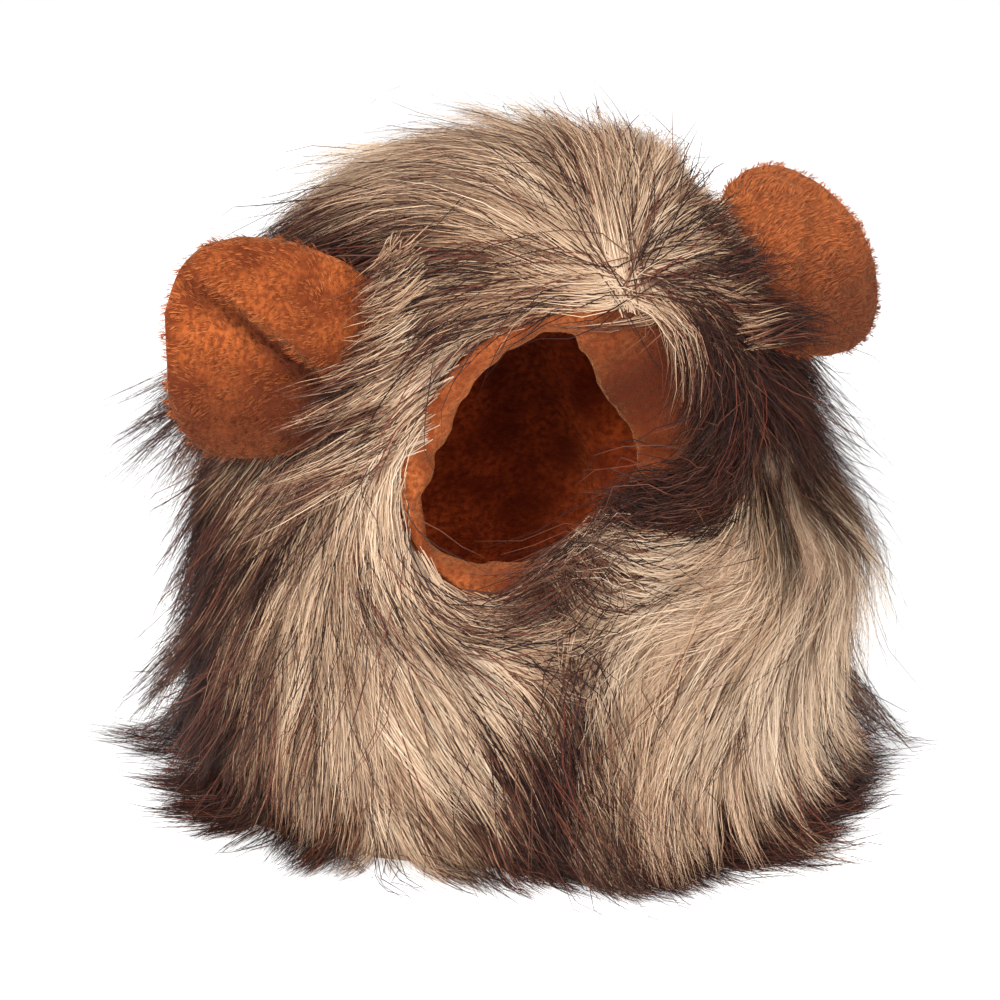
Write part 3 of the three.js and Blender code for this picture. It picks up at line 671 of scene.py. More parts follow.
def fur_material():
    """The tone of a strand: its way along, its own shade, its lock's, and how dark its place is, with
    painted shade near its root.
    """
    material, bench = new_material("mane fur")
    along, dark, shade, lock = (bench.attribute(name) for name in ("along", "dark", "shade", "lock"))
    pale = bench.wire(
        "ShaderNodeValToRGB", {"stops": [(0.0, FAWN), (0.45, CREAM), (1.0, PALE)]},
        {0: shade * 0.4 + lock * 0.45 - dark * 0.45},
    )
    deep = bench.wire(
        "ShaderNodeValToRGB", {"stops": [(0.0, DARK), (0.6, DARK), (0.85, BROWN), (1.0, RUST)]}, {0: shade}
    )
    reach = along * 0.86 + dark * 1.15 + (shade - 0.5) * 0.6 + (lock - 0.5) * 0.25
    turn = reach.ramp(0.7, 0.98)
    brown = reach.ramp(0.45, 0.82)
    base = mix(bench, brown, pale, FAWN)
    base = mix(bench, turn, base, deep)
    # Painted shade: each strand is darkened towards brown over the first third of its length, near the
    # root.
    root = (1 - along.ramp(0.0, 0.35)) * PAINTED_ROOT_SHADE
    base = mix(bench, root, base, BROWN)
    painted(bench, base, 0.55, 0.12)
    return material


FUR = fur_material()
print("fur material", len(FUR.node_tree.nodes), "nodes")

# %% Plush material
# The colour of painted shade in the plush and in the ears' nap.
PAINTED_PLUSH_SHADE = colour(70, 24, 8)


def plush_material(name, lit, shaded, grain):
    """Short velvety pile with painted light and shade. Lit and shaded are a lit and a shaded tone of its
    colour, which noise mixes, and the troughs between tufts take the shaded tone. Grain is the size of its
    tufts in metres, and an attribute marks painted shade in deep and shadowed places.
    """
    material, bench = new_material(name)
    place = bench.wire("ShaderNodeTexCoord", out=3)
    nap = bench.wire("ShaderNodeTexNoise", None, {"Vector": place, "Scale": 70.0, "Detail": 3.0})
    tufts = bench.wire("ShaderNodeTexNoise", None, {"Vector": place, "Scale": 1 / grain, "Detail": 4.0})
    fine = bench.wire("ShaderNodeTexNoise", None, {"Vector": place, "Scale": 3 / grain, "Detail": 2.0})
    hidden = bench.attribute("hidden")
    # Painted light and shade: noise mixes the lit and the shaded tone, the troughs between tufts take the
    # shaded tone, and the attribute read above darkens deep and shadowed places.
    base = mix(bench, nap.ramp(0.35, 0.65), shaded, lit)
    base = mix(bench, (1 - tufts.ramp(0.38, 0.6)) * 0.8, base, shaded)
    base = mix(bench, hidden, base, PAINTED_PLUSH_SHADE)
    height = tufts + fine * 0.4
    bump = bench.wire("ShaderNodeBump", None, {"Strength": 1.0, "Distance": 0.0012, "Height": height})
    shader = painted(bench, base, 0.9, 0.15, bump)
    shader.inputs["Sheen Weight"].default_value = 0.3
    shader.inputs["Sheen Roughness"].default_value = 0.4
    shader.inputs["Sheen Tint"].default_value = colour(255, 190, 130)
    return material


# Each plush gets a lit and a shaded tone of its colour, for its painted light and shade.
EAR_PLUSH = plush_material("ear plush", colour(168, 86, 38), colour(96, 38, 12), 0.0014)
LINING_PLUSH = plush_material("lining plush", colour(216, 98, 42), colour(136, 50, 16), 0.0018)
BINDING_PLUSH = plush_material("binding plush", colour(190, 104, 54), colour(120, 50, 18), 0.0014)
print("plush materials", [m.name for m in (EAR_PLUSH, LINING_PLUSH, BINDING_PLUSH)])

# %% [markdown]
# ## Making a piece
# Each piece is a list of points and faces in the row frame. This helper makes the mesh, turns its
# normals outwards when it is a closed shell, and gives it a material and any attributes.

# %% A piece from points and faces
def count_triangles(mesh):
    return sum(len(p.vertices) - 2 for p in mesh.polygons)


def set_numbers(mesh, values):
    """Gives a mesh attributes with one number at each point."""
    for name, numbers in values.items():
        data = mesh.attributes.new(name, "FLOAT", "POINT").data
        data.foreach_set("value", np.asarray(numbers, dtype=np.float32))


def make_piece(name, points, faces, material, attributes):
    """An object from a closed shell, with its normals outwards, its material and its attributes."""
    mesh = bpy.data.meshes.new(name)
    mesh.from_pydata([tuple(map(float, p)) for p in points], [], [tuple(map(int, f)) for f in faces])
    set_numbers(mesh, attributes)
    body = bmesh.new()
    body.from_mesh(mesh)
    bmesh.ops.recalc_face_normals(body, faces=body.faces)
    body.to_mesh(mesh)
    body.free()
    mesh.polygons.foreach_set("use_smooth", [True] * len(mesh.polygons))
    mesh.materials.append(material)
    print(name, count_triangles(mesh), "triangles")
    return new_object(name, mesh)


# %% [markdown]
# ## Shells over the hood
# The undercoat and the lining are both shells over the same surface, with the face opening cut out.
# A grid in azimuth and way is laid over the dome. Cells inside the opening are left out, and points
# next to it are moved onto its outline. The inner and the outer sheet are then joined along every
# open edge, so the shell is closed and has a real thickness at the opening and the hem.

# %% Hood shells
FRONT_WAY = float(way_at(FACE_CENTRE[2] / HOOD_HEIGHT))
FACE_AZIMUTH = math.degrees(math.asin((FACE_CENTRE[0] - HOOD_AXIS[0]) / (0.93 * HEM_HALF_WIDTH)))


def outwards(azimuth, way, share):
    """A point of the grid moved away from the opening's centre: at share 1 it stays."""
    return FACE_AZIMUTH + (azimuth - FACE_AZIMUTH) * share, FRONT_WAY + (way - FRONT_WAY) * share


def hood_grid(around, up):
    """Azimuth and way of each point of the grid, its faces, and which points they use."""
    azimuth, way = np.meshgrid(
        np.linspace(-180, 180, around, endpoint=False), np.linspace(0, 0.985, up), indexing="xy"
    )
    azimuth, way = azimuth.ravel(), way.ravel()
    points = seam_points(azimuth, way)
    inside = (face_reach(points) < 1) & in_front(points)
    cells = []
    for j in range(up - 1):
        for i in range(around):
            cell = ring_cell(j, i, around, up)
            if not inside[list(cell)].all():
                cells.append(cell)
    used = np.zeros(len(azimuth), dtype=bool)
    used[np.unique(np.array(cells))] = True
    edge = np.flatnonzero(inside & used)
    low, high = np.ones(len(edge)), np.full(len(edge), 3.0)
    for _ in range(24):  # halving the stretch 24 times finds the outline to a hundredth of a micron
        middle = (low + high) / 2
        short = face_reach(seam_points(*outwards(azimuth[edge], way[edge], middle))) < 1
        low, high = np.where(short, middle, low), np.where(short, high, middle)
    azimuth[edge], way[edge] = outwards(azimuth[edge], way[edge], high)
    return azimuth, way, cells, used


def hood_shell(name, inner, outer, material, lift, attribute, make, around=132, up=60):
    """A closed shell between two depths off the seam. Each depth is a function of place, azimuth, way.
    One attribute is made from the places on the seam."""
    azimuth, way, cells, used = hood_grid(around, up)
    seam, normals = seam_points(azimuth, way), seam_normals(azimuth, way)
    sheets = []
    for depth in (outer, inner):
        sheet = seam + normals * depth(seam, azimuth, way)[:, None]
        sheet[:, 2] = np.maximum(sheet[:, 2], lift)
        sheets.append(sheet)
    top_azimuth, top_way, upright = np.array([0.0]), np.array([1.0]), np.array([0, 0, 1])
    crown = seam_points(top_azimuth, top_way)
    crowns = [crown + upright * depth(crown, top_azimuth, top_way)[:, None] for depth in (outer, inner)]
    number = np.cumsum(used) - 1
    count = int(used.sum())
    points = np.concatenate([sheets[0][used], sheets[1][used], crowns[0], crowns[1]])
    top = (up - 1) * around
    faces = [tuple(number[list(c)]) for c in cells]
    faces += [(number[top + i], number[top + (i + 1) % around], 2 * count) for i in range(around)]
    edges = dict.fromkeys((a, b) for face in faces for a, b in zip(face, face[1:] + face[:1]))
    rims = [(a, b) for a, b in edges if (b, a) not in edges]
    back = [tuple(2 * count + 1 if k == 2 * count else k + count for k in reversed(face)) for face in faces]
    sides = [(b, a, a + count, b + count) for a, b in rims]
    values = make(seam[used])
    values = np.concatenate([values, values, values[:1], values[:1]])
    return make_piece(name, points, faces + back + sides, material, {attribute: values})


print("opening around azimuth", round(FACE_AZIMUTH, 1), "way", round(FRONT_WAY, 3))

# %% [markdown]
# ## The undercoat
# Under the long hair the fabric has a dense short undercoat on a woven backing, which keeps light from
# showing through. It replaces the solid of the mane. Its outside follows the pile at a share of its
# height, with streaks that run the way the hair lies. At the whorl it thins out.

# %% Undercoat
WHORL = seam_points(np.array([13.0]), way_at(np.array([0.9])))[0]
UNDERCOAT_SHARE = 0.42
# The undercoat's two tones are a shaded and a lit tone that its streaks mix. Both are darker than the hair,
# partly the undercoat's own colour and partly painted shade for the gaps between strands.
UNDERCOAT_SHADED = colour(142, 114, 92)
UNDERCOAT_LIT = colour(182, 154, 130)
INNER_DEPTH = 0.3 * MM
UNDERCOAT_LIFT = 0.3 * MM


def backing_depth(points, azimuth):
    """How far the woven backing stands off the seam: more where the flap laps over."""
    return BACKING + 0.85 * flap_rise(azimuth, points[..., 2])


def undercoat_depth(points, azimuth, way):
    """How far the undercoat's surface stands off the seam. It has streaks, and is thin at the whorl."""
    pile = pile_depth(points, azimuth) - flap_rise(azimuth, points[..., 2])
    streak = 1 + 0.12 * np.sin(azimuth * 1.9 + 3 * np.sin(azimuth * 0.31) + 9 * way)
    parting = fading(points, WHORL, 22 * MM)
    share = UNDERCOAT_SHARE * streak * (1 - 0.3 * smooth(0.8, 0.95, way)) * (1 - 0.95 * parting)
    return backing_depth(points, azimuth) + np.maximum(pile - BACKING, 0) * share


def undercoat_material():
    material, bench = new_material("undercoat")
    place = bench.wire("ShaderNodeTexCoord", out=3)
    stretched = bench.wire("ShaderNodeMapping", None, {"Vector": place, "Scale": (900.0, 900.0, 120.0)})
    hair = bench.wire("ShaderNodeTexNoise", None, {"Vector": stretched, "Scale": 1.0, "Detail": 3.0})
    base = mix(bench, hair.ramp(0.3, 0.7), UNDERCOAT_SHADED, UNDERCOAT_LIT)
    base = mix(bench, bench.attribute("dark").clamped(), base, DARK)
    bump = bench.wire("ShaderNodeBump", None, {"Strength": 0.6, "Distance": 0.001, "Height": hair})
    painted(bench, base, 0.85, 0.1, bump)
    return material


undercoat = hood_shell(
    "fur_undercoat",
    lambda points, azimuth, way: np.full(len(points), INNER_DEPTH),
    undercoat_depth,
    undercoat_material(),
    UNDERCOAT_LIFT,
    "dark",
    darkness,
)
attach(undercoat, "root")
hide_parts("mane")

# %% [markdown]
# ## The lining
# The inside is a short plush, sewn in and a little slack, so it hangs in soft folds. It is a shell two
# millimetres thick just under the fur's backing. The folds only ever push it inwards, because the
# backing holds it from outside.

# %% Lining
LINING_WALL = 2 * MM
LINING_LIFT = 1 * MM
LINING_FOLDS = [
    # azimuth, slant in degrees per unit of way, spread in degrees, depth in mm
    (150, 60, 7, 5.0), (-150, -50, 8, 4.0), (176, 20, 6, 3.5), (120, 40, 8, 4.0),
    (-118, -30, 9, 4.5),
    (98, 70, 6, 3.0), (-165, 40, 6, 3.0), (70, 20, 8, 3.0), (-84, -20, 8, 3.0),
]


def lining_slack(points, azimuth, way):
    """How far the lining hangs in from the seam, in folds that end before the hem, crown and opening."""
    slack = np.zeros(len(points))
    for at, slant, spread, depth in LINING_FOLDS:
        away = apart(azimuth, at + slant * (way - 0.5)) / spread
        slack += depth * MM * np.exp(-away * away)
    calm = smooth(0.0, 0.12, way) * (1 - smooth(0.85, 0.98, way))
    rim = np.where(in_front(points), smooth(1.0, 1.5, face_reach(points)), 1)
    return slack * calm * rim


def lining_painted_shade(points):
    """Painted shade: most where the lining lies against the backing between its folds and gets less light,
    and more higher up inside the hood.
    """
    slack = lining_slack(points, seam_azimuth(points), way_at(points[:, 2] / HOOD_HEIGHT))
    deep = smooth(30 * MM, 130 * MM, points[:, 2])
    return (0.15 + 0.4 * deep) * (1 - smooth(0.5 * MM, 3 * MM, slack)) + 0.05 * deep


# The lining carries its painted shade in an attribute, darker between its folds and higher up.
lining = hood_shell(
    "lining_plush",
    lambda points, azimuth, way: -LINING_WALL - lining_slack(points, azimuth, way),
    lambda points, azimuth, way: -0.05 * MM - lining_slack(points, azimuth, way),
    LINING_PLUSH,
    LINING_LIFT,
    "hidden",
    lining_painted_shade,
)
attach(lining, "root")
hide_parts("lining")
body = bmesh.new()
body.from_mesh(lining.data)
lining_area = sum(f.calc_area() for f in body.faces) / 2
body.free()
print("lining", round(lining_area, 4), "m2 on each side")

# %% [markdown]
# ## The binding
# A strip of the plush is sewn round the face opening and drawn in by an elastic, so it is gathered.
# It is swept round the opening: a section is placed at each of many turns, and a wave in its depth and
# its width makes the gathers.

# %% Binding
BINDING_GAP = 0.5 * MM
BINDING_WALL = 2.2 * MM
BINDING_EDGE = 4 * MM
BINDING_SINK = 5 * MM
GATHERS = 17
GATHER_DEPTH = 0.9 * MM
BINDING_STEPS = 18
BINDING_SECTION = 20


def front_seam(x, z):
    """Where a point of the front view meets the seam surface."""
    way = way_at(z / HOOD_HEIGHT)
    for _ in range(30):
        centre = CROWN_SIDEWAYS * section("lean", way)
        half = HEM_HALF_WIDTH * section("side", way, True)
        azimuth = np.degrees(np.arcsin(np.clip((x - HOOD_AXIS[0] - centre) / half, -1, 1)))
        way = np.clip(way + (z - seam_points(azimuth, way)[..., 2]) / HOOD_HEIGHT, 0, 1)
    return seam_points(azimuth, way)


def binding_rings():
    """Sections of the binding round the opening, each a closed ring of points."""
    count = GATHERS * BINDING_STEPS
    turn = np.linspace(0, 2 * np.pi, count, endpoint=False)
    across = (FACE_LENGTH / 2 - BINDING_GAP) * np.cos(turn)
    up = (FACE_BREADTH / 2 - BINDING_GAP) * np.sin(turn)
    x = FACE_CENTRE[0] + across * math.cos(FACE_LEAN) - up * math.sin(FACE_LEAN)
    z = FACE_CENTRE[2] + across * math.sin(FACE_LEAN) + up * math.cos(FACE_LEAN)
    rim = front_seam(x, z)
    inward = np.stack([FACE_CENTRE[0] - x, 0 * x, FACE_CENTRE[2] - z], axis=-1)
    inward /= np.linalg.norm(inward, axis=-1, keepdims=True)
    lean = 0.9 * np.sin(3 * turn + 1) + 0.7 * np.sin(5 * turn)
    reach = opening_edge("band", np.degrees(turn))
    radius = np.hypot(FACE_CENTRE[0] - x, FACE_CENTRE[2] - z)
    widths = radius * (1 - reach)
    drawn = 0.3 + 0.7 * np.sin(1.5 * turn + 0.4) ** 2
    rings = []
    for k in range(BINDING_SECTION):
        angle = 2 * math.pi * k / BINDING_SECTION
        inner = 0.5 - 0.5 * math.cos(angle)
        front = math.sin(angle) * 0.5
        roll = abs(math.sin(angle)) ** 0.5 * (1 if math.sin(angle) >= 0 else -1) * 0.5
        wall = BINDING_WALL + (BINDING_EDGE - BINDING_WALL) * inner
        wave = np.cos(GATHERS * turn + lean + 0.9 * inner) * drawn
        fine = 0.3 * np.cos(2.3 * GATHERS * turn + 2 * np.sin(2 * turn) + 1.5 * inner)
        width = widths * inner * (1 + 0.005 * (wave + fine) * inner)
        depth = wall * (0.4 * front + 0.6 * roll) + GATHER_DEPTH * (wave + fine) * (0.25 + 0.75 * inner)
        at = rim + inward * width[:, None]
        at[:, 1] -= depth - BINDING_SINK * inner**2
        rings.append(at)
    return np.stack(rings, axis=1)


binding_points = binding_rings()
ring_count, ring_size = binding_points.shape[:2]
binding_faces = [
    ring_cell(i, k, ring_size, ring_count) for i in range(ring_count) for k in range(ring_size)
]
binding_angle = np.repeat(np.degrees(np.linspace(0, 2 * np.pi, ring_count, endpoint=False)), ring_size)
# Painted shade: the binding is darkened most near angle -12 round the opening and less near angle 235.
right = np.exp(-((apart(binding_angle, -12) / 48) ** 2))
lower_left_shade = np.exp(-((apart(binding_angle, 235) / 60) ** 2))
binding = make_piece(
    "binding_plush", binding_points.reshape(-1, 3), binding_faces, BINDING_PLUSH,
    {"hidden": 0.95 * right + 0.6 * lower_left_shade},
)
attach(binding, "root")
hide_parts("face_binding")

# %% [markdown]
# ## The ears
# Each ear is a padded lobe of plush with a seam round its rim. It bows towards the front, and a crease
# runs from low on its root to its upper corner, with the lobe above it bulging over it. It is lofted
# from root to rim like the solid, from the same table, with many more rings, so that its outline is
# smooth and its crease is soft. It is a little smaller than the solid, to leave room for the nap.

# %% Ears
EAR_BOW = 8 * MM
EAR_CREASES = {"ear_left": 0.25, "ear_right": 1.0}
EAR_CREASE_DEPTH = 4.2 * MM
EAR_CREASE_WIDTH = 3.2 * MM
EAR_LIP = 3.4 * MM
NAP = 1.7 * MM
EAR_OUTLINE = {
    "out": [0.0, 0.2, 0.42, 0.64, 0.82, 0.94, 1.0],
    "lower": [0.5, 0.76, 0.91, 0.97, 0.92, 0.72, 0.36],
    "upper": [0.45, 0.74, 0.92, 0.98, 0.92, 0.72, 0.38],
    "plump": [0.6, 0.9, 1.0, 1.0, 0.88, 0.7, 0.3],
    "crease": [0.6, 1.0, 1.0, 0.9, 0.6, 0.25, 0.0],
}
EAR_RINGS = 56
EAR_AROUND = 104


def smooth_column(places, values, at):
    """A smooth curve through a column of the table: straight pieces, then a mean over a short window."""
    fine = np.linspace(0, 1, 401)
    straight = np.interp(fine, places, values)
    window = np.hanning(61)
    ends = np.pad(straight, 30, mode="reflect", reflect_type="odd")
    return np.interp(at, fine, np.convolve(ends, window / window.sum(), mode="valid"))


def ear_points(name):
    """The rings of an ear from root to rim, and how much painted shade each point gets: in the crease, low
    on the ear's front and near its root.
    """
    root, out, high, front = EAR_FRAMES[name]
    rows = np.array(EAR_OUTLINE["out"])
    share = 1 - (1 - np.linspace(0, 1, EAR_RINGS)) ** 1.6
    column = {key: smooth_column(rows, EAR_OUTLINE[key], share) for key in EAR_OUTLINE}
    rings, hidden = [], []
    half = EAR_WIDTH / 2 - NAP
    for i, along in enumerate(share):
        turn = 2 * np.pi * np.arange(EAR_AROUND) / EAR_AROUND
        cos, sin = np.cos(turn), np.sin(turn)
        width = half * np.where(cos > 0, column["upper"][i], column["lower"][i])
        plump = EAR_THICKNESS / 2 * column["plump"][i]
        across = cos * width
        bow = EAR_BOW * along * (1 - (across / half) ** 2)
        crease = half * (-0.86 + 1.67 * along + 0.28 * along * (1 - along))
        near = (across - crease) / EAR_CREASE_WIDTH
        strength = EAR_CREASES[name] * column["crease"][i] * np.clip(3 * sin, 0, 1)
        valley = strength * np.exp(-near * near)
        lip = strength * smooth(-0.5, 1.0, near) * np.exp(-np.maximum(near, 0) / 4)
        puff = plump * np.sign(sin) * np.abs(sin) ** 0.8
        ripple = 0.35 * MM * np.sin(7 * along + 5 * across / half) * np.sin(9 * across / half + 2)
        depth = puff + bow - EAR_CREASE_DEPTH * valley + EAR_LIP * lip + ripple * np.abs(sin)
        reach = along * (EAR_LENGTH - NAP)
        at = root + out * reach + high * across[:, None] + front * depth[:, None]
        rings.append(at)
        # Painted shade: the crease's valley, the lower part of the ear's front and its root are darkened.
        low = 0.75 * smooth(-0.3, 0.7, -across / half) + 0.5 * (1 - smooth(0, 0.25, along))
        hidden.append(np.clip(valley + low * (sin > 0), 0, 1))
    return np.array(rings), np.concatenate(hidden)


ear_meshes = {}
for name in EARS:
    rings, hidden = ear_points(name)
    flat = rings.reshape(-1, 3)
    faces = [
        ring_cell(i, k, EAR_AROUND, EAR_RINGS) for i in range(EAR_RINGS - 1) for k in range(EAR_AROUND)
    ]
    ends = [rings[0].mean(axis=0), rings[-1].mean(axis=0)]
    points = np.concatenate([flat, ends])
    last = (EAR_RINGS - 1) * EAR_AROUND
    for k in range(EAR_AROUND):
        faces.append((len(flat), (k + 1) % EAR_AROUND, k))
        faces.append((len(flat) + 1, last + k, last + (k + 1) % EAR_AROUND))
    values = {"hidden": np.concatenate([hidden, [0, 0]])}
    ear = make_piece(name + "_plush", points, faces, EAR_PLUSH, values)
    ear_meshes[name] = ear.data
    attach(ear, "root")
    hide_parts(name)

# %% [markdown]
# ## Guide hairs
# A few thousand guide hairs carry the shape of the fur, and every one of them later becomes a small
# tuft. Geometry nodes could walk them, but a written walk is easier to keep off the face and the ears.
# Each starts at the undercoat's surface and walks along the seam in short steps. At the whorl a guide
# starts a little behind its root, so that hairs cross there and leave no bare place. At every step
# the nearest place on the seam gives its normal, the comb gives its way, and the hair rises towards
# the outer surface of the pile. Guides stay out of the face opening and off the fronts of the ears,
# and spread out where they meet the floor.

# %% Guides
GUIDE_STEPS = 10
PILE_LENGTH = 47 * MM
EAR_COVER = {"up": [-30 * MM, -8 * MM, 0.0, 17 * MM], "out": [34 * MM, 26 * MM, 12 * MM, 5 * MM]}
COVER_GUIDES = {"ear_left": 34, "ear_right": 84}
COVER_SHARES = {"ear_left": 0.62, "ear_right": 1.0}
COVER_TONES = {"ear_left": (0.5, 1.0), "ear_right": (-0.1, 0.6)}
WHORL_CROSSING = 11 * MM
RIM_BAND = 0.15
FLOOR_REST = 0.7 * MM
CROWN_LIMIT = 204 * MM
BACK_LIMIT = 117 * MM
LONG_PLACES = [
    # azimuth, rise, radius in mm, how much longer the hair is there
    (32, 0.48, 12, 0.15), (-46, 0.7, 14, 0.2), (54, 0.8, 12, 0.2), (54, 0.68, 18, -0.3),
    (36, 0.68, 14, -0.2),
]


def place_roots(count, seed):
    """Roots on the seam outside the opening, closer together where the hair parts or thins out."""
    dice = np.random.default_rng(seed)
    azimuth = dice.uniform(-180, 180, count * 20)
    way = dice.uniform(0.004, 0.999, count * 20)
    east = np.linalg.norm(seam_points(azimuth + 0.5, way) - seam_points(azimuth - 0.5, way), axis=-1)
    up = np.linalg.norm(seam_points(azimuth, way + 0.001) - seam_points(azimuth, way), axis=-1)
    points = seam_points(azimuth, way)
    off = face_gap(points)
    crowd = 1 + 3.4 * fading(points, WHORL, 20 * MM)
    crowd += 0.6 * smooth(0.9, 1.0, way) + 0.5 * smooth(0, 12 * MM, flap_rise(azimuth, points[:, 2]))
    crowd += np.where(in_front(points), 1.3 * np.exp(-((off / (13 * MM)) ** 2)), 0)
    for root, *_ in EAR_FRAMES.values():
        crowd += 0.8 * fading(points, root, 24 * MM)
    crowd *= np.where(in_front(points), 1.0, 0.8)
    share = east * up * crowd
    keep = dice.uniform(0, 1, len(share)) < share / np.quantile(share, 0.995)
    keep &= ~((off < 0.3 * MM) & in_front(points))
    return points[keep][:count]


def wander(points, seed, size):
    """A smooth random number from -1 to 1 at each point, that changes over a distance."""
    dice = np.random.default_rng(seed)
    total = np.zeros(len(points))
    for _ in range(6):
        wave = dice.normal(size=3)
        wave *= 2 * np.pi / size / np.linalg.norm(wave) * dice.uniform(0.6, 1.5)
        total += np.sin(points @ wave + dice.uniform(0, 2 * np.pi))
    return total / 3


def coat_top(places, azimuth):
    """How far the undercoat's surface stands off the seam."""
    return undercoat_depth(places, azimuth, way_at(places[:, 2] / HOOD_HEIGHT))


def walk(roots, seed, length, loft, stray=0.0):
    """The points, the sideways and outward ways, and the tone of guide hairs from these roots."""
    dice = np.random.default_rng(seed)
    count = len(roots)
    place, normal, _ = on_seam(roots)
    azimuth = seam_azimuth(place)
    rim = np.where(in_front(place), smooth(0, 26 * MM, face_gap(place)), 1)
    longer = np.zeros(count)
    for at, rise, radius, more in LONG_PLACES:
        spot = seam_points(np.array(float(at)), way_at(rise))
        longer += more * fading(place, spot, radius * MM)
    reach = length * (0.76 + 0.24 * rim + longer) * dice.uniform(0.75, 1.2, count)
    lift = loft * dice.uniform(0.55, 1.0, count) + 0.16 * wander(place, seed + 1, 22 * MM)
    swirl = np.radians(13 * wander(place, seed + 2, 17 * MM) + dice.normal(0, 7 + 30 * stray, count))
    way = comb(place, normal)
    across = WHORL_CROSSING * fading(place, WHORL, 14 * MM)
    points = [place + normal * (0.85 * coat_top(place, azimuth))[:, None] - way * across[:, None]]
    lifts, sides = [normal], [np.cross(normal, way)]
    held = np.zeros(count, dtype=bool)
    edge = dice.normal(0, 0.03 + 0.04 * stray, count)
    spread = dice.uniform(0.5, 1.35 + stray, count)
    for k in range(1, GUIDE_STEPS + 1):
        share = k / GUIDE_STEPS
        step = (reach / GUIDE_STEPS)[:, None]
        side = np.cross(normal, way)
        turned_way = way * np.cos(swirl * 0.25)[:, None] + side * np.sin(swirl * 0.25)[:, None]
        place, normal, pile = on_seam(place + turned_way * step)
        azimuth = seam_azimuth(place)
        fresh = comb(place, normal)
        way = along_rim(place, 0.45 * turned_way + 0.55 * fresh + towards_face(place), edge)
        way -= normal * (way * normal).sum(axis=1, keepdims=True)
        way /= np.maximum(np.linalg.norm(way, axis=1, keepdims=True), 1e-6)
        base = backing_depth(place, azimuth)
        height = base + np.maximum(pile - base, RIM_PILE / 2) * np.maximum(lift, 0.1) * share**0.6
        height = np.maximum(height, coat_top(place, azimuth) + 0.9 * MM * share)
        height += stray * (9 - 7 * smooth(0.8, 1.0, place[:, 2] / HOOD_HEIGHT)) * MM * share**1.5
        target = place + normal * height[:, None]
        last = points[-1]
        low = place[:, 2] < 4 * MM
        outward = normal * np.array([1, 1, 0])
        splay = last + (outward * 0.55 + way * np.array([1, 1, 0.5]) + [0, 0, -0.5]) * step * 0.8
        target = np.where(low[:, None], splay, target)
        target = clear_of_face(target, edge)
        target, stop = clear_of_ears(target, spread)
        held |= stop
        target = np.where(held[:, None], last + (target - last) * 0.02, target)
        target[:, 2] = np.maximum(target[:, 2], FLOOR_REST + dice.uniform(0, 2.5 * MM, count) * share)
        points.append(target)
        lifts.append(normal)
        sides.append(np.cross(normal, way))
    hem = 0.28 * (1 - smooth(2 * MM, 22 * MM, points[-1][:, 2]))
    dark = darkness(roots) + hem + 0.16 * wander(roots, seed + 3, 9 * MM) + dice.normal(0, 0.09, count)
    lock = dice.uniform(0, 1, count)
    return np.stack(points, 1), np.stack(sides, 1), np.stack(lifts, 1), np.clip(dark, PALEST, 1), lock


def gathered(guides, seed, leaders, most):
    """Guides drawn towards the nearest of a few leading ones, so that their tips close into locks."""
    points, sides, lifts, dark, lock = guides
    dice = np.random.default_rng(seed)
    chosen = dice.choice(len(points), int(len(points) * leaders), replace=False)
    gap = np.linalg.norm(points[:, None, 0] - points[None, chosen, 0], axis=-1)
    leader = chosen[gap.argmin(axis=1)]
    pull = dice.uniform(0.2, most, len(points))[leader]
    share = np.linspace(0, 1, points.shape[1]) ** 1.4
    drawn = points + (points[leader] - points) * (pull[:, None] * share)[..., None]
    return drawn, sides, lifts, 0.5 * dark + 0.5 * dark[leader], 0.3 * lock + 0.7 * lock[leader]


def ear_cover(name, seed):
    """Guides that start in the fur beside an ear's root and lie over the front of the ear."""
    dice = np.random.default_rng(seed)
    count = COVER_GUIDES[name]
    root, out, high, front = EAR_FRAMES[name]
    across = dice.uniform(-30 * COVER_SHARES[name], 19, count) * MM
    start = dice.uniform(-9, -1, count) * MM
    cover = np.interp(across, EAR_COVER["up"], EAR_COVER["out"])
    end = cover * COVER_SHARES[name] * dice.uniform(0.6, 1.25, count)
    share = np.linspace(0, 1, GUIDE_STEPS + 1)
    u = start[:, None] + (end - start)[:, None] * share
    v = across[:, None] - dice.uniform(0.2, 0.6, count)[:, None] * (u - start[:, None]) + 6 * MM
    bow = EAR_BOW * np.clip(u / EAR_LENGTH, 0, 1) * (1 - np.clip(v / (EAR_WIDTH / 2), -1, 1) ** 2)
    over = bow + EAR_THICKNESS / 2 + dice.uniform(1.5, 5, count)[:, None] * MM
    w = over * smooth(0, 0.45, share) + dice.uniform(0, 5, count)[:, None] * MM * (1 - share)
    points = root + u[..., None] * out + v[..., None] * high + w[..., None] * front
    sides = np.broadcast_to(high, points.shape)
    lifts = np.broadcast_to(front, points.shape)
    return points, sides, lifts, dice.uniform(*COVER_TONES[name], count), dice.uniform(0, 1, count)


def towards_face(places):
    """The pull of the hair beside the opening over its edge, where the fur edge lies inside it."""
    off = (face_reach(places) - 1) * FACE_BREADTH / 2
    over = 1 - opening_edge("fur", face_angle(places))
    pull = np.where(in_front(places), 2.6 * over * np.exp(-((np.maximum(off, 0) / (10 * MM)) ** 2)), 0)
    inward = (FACE_CENTRE - places) * np.array([1, 0, 1])
    inward /= np.maximum(np.linalg.norm(inward, axis=-1, keepdims=True), 1 * MM)
    return inward * pull[:, None]


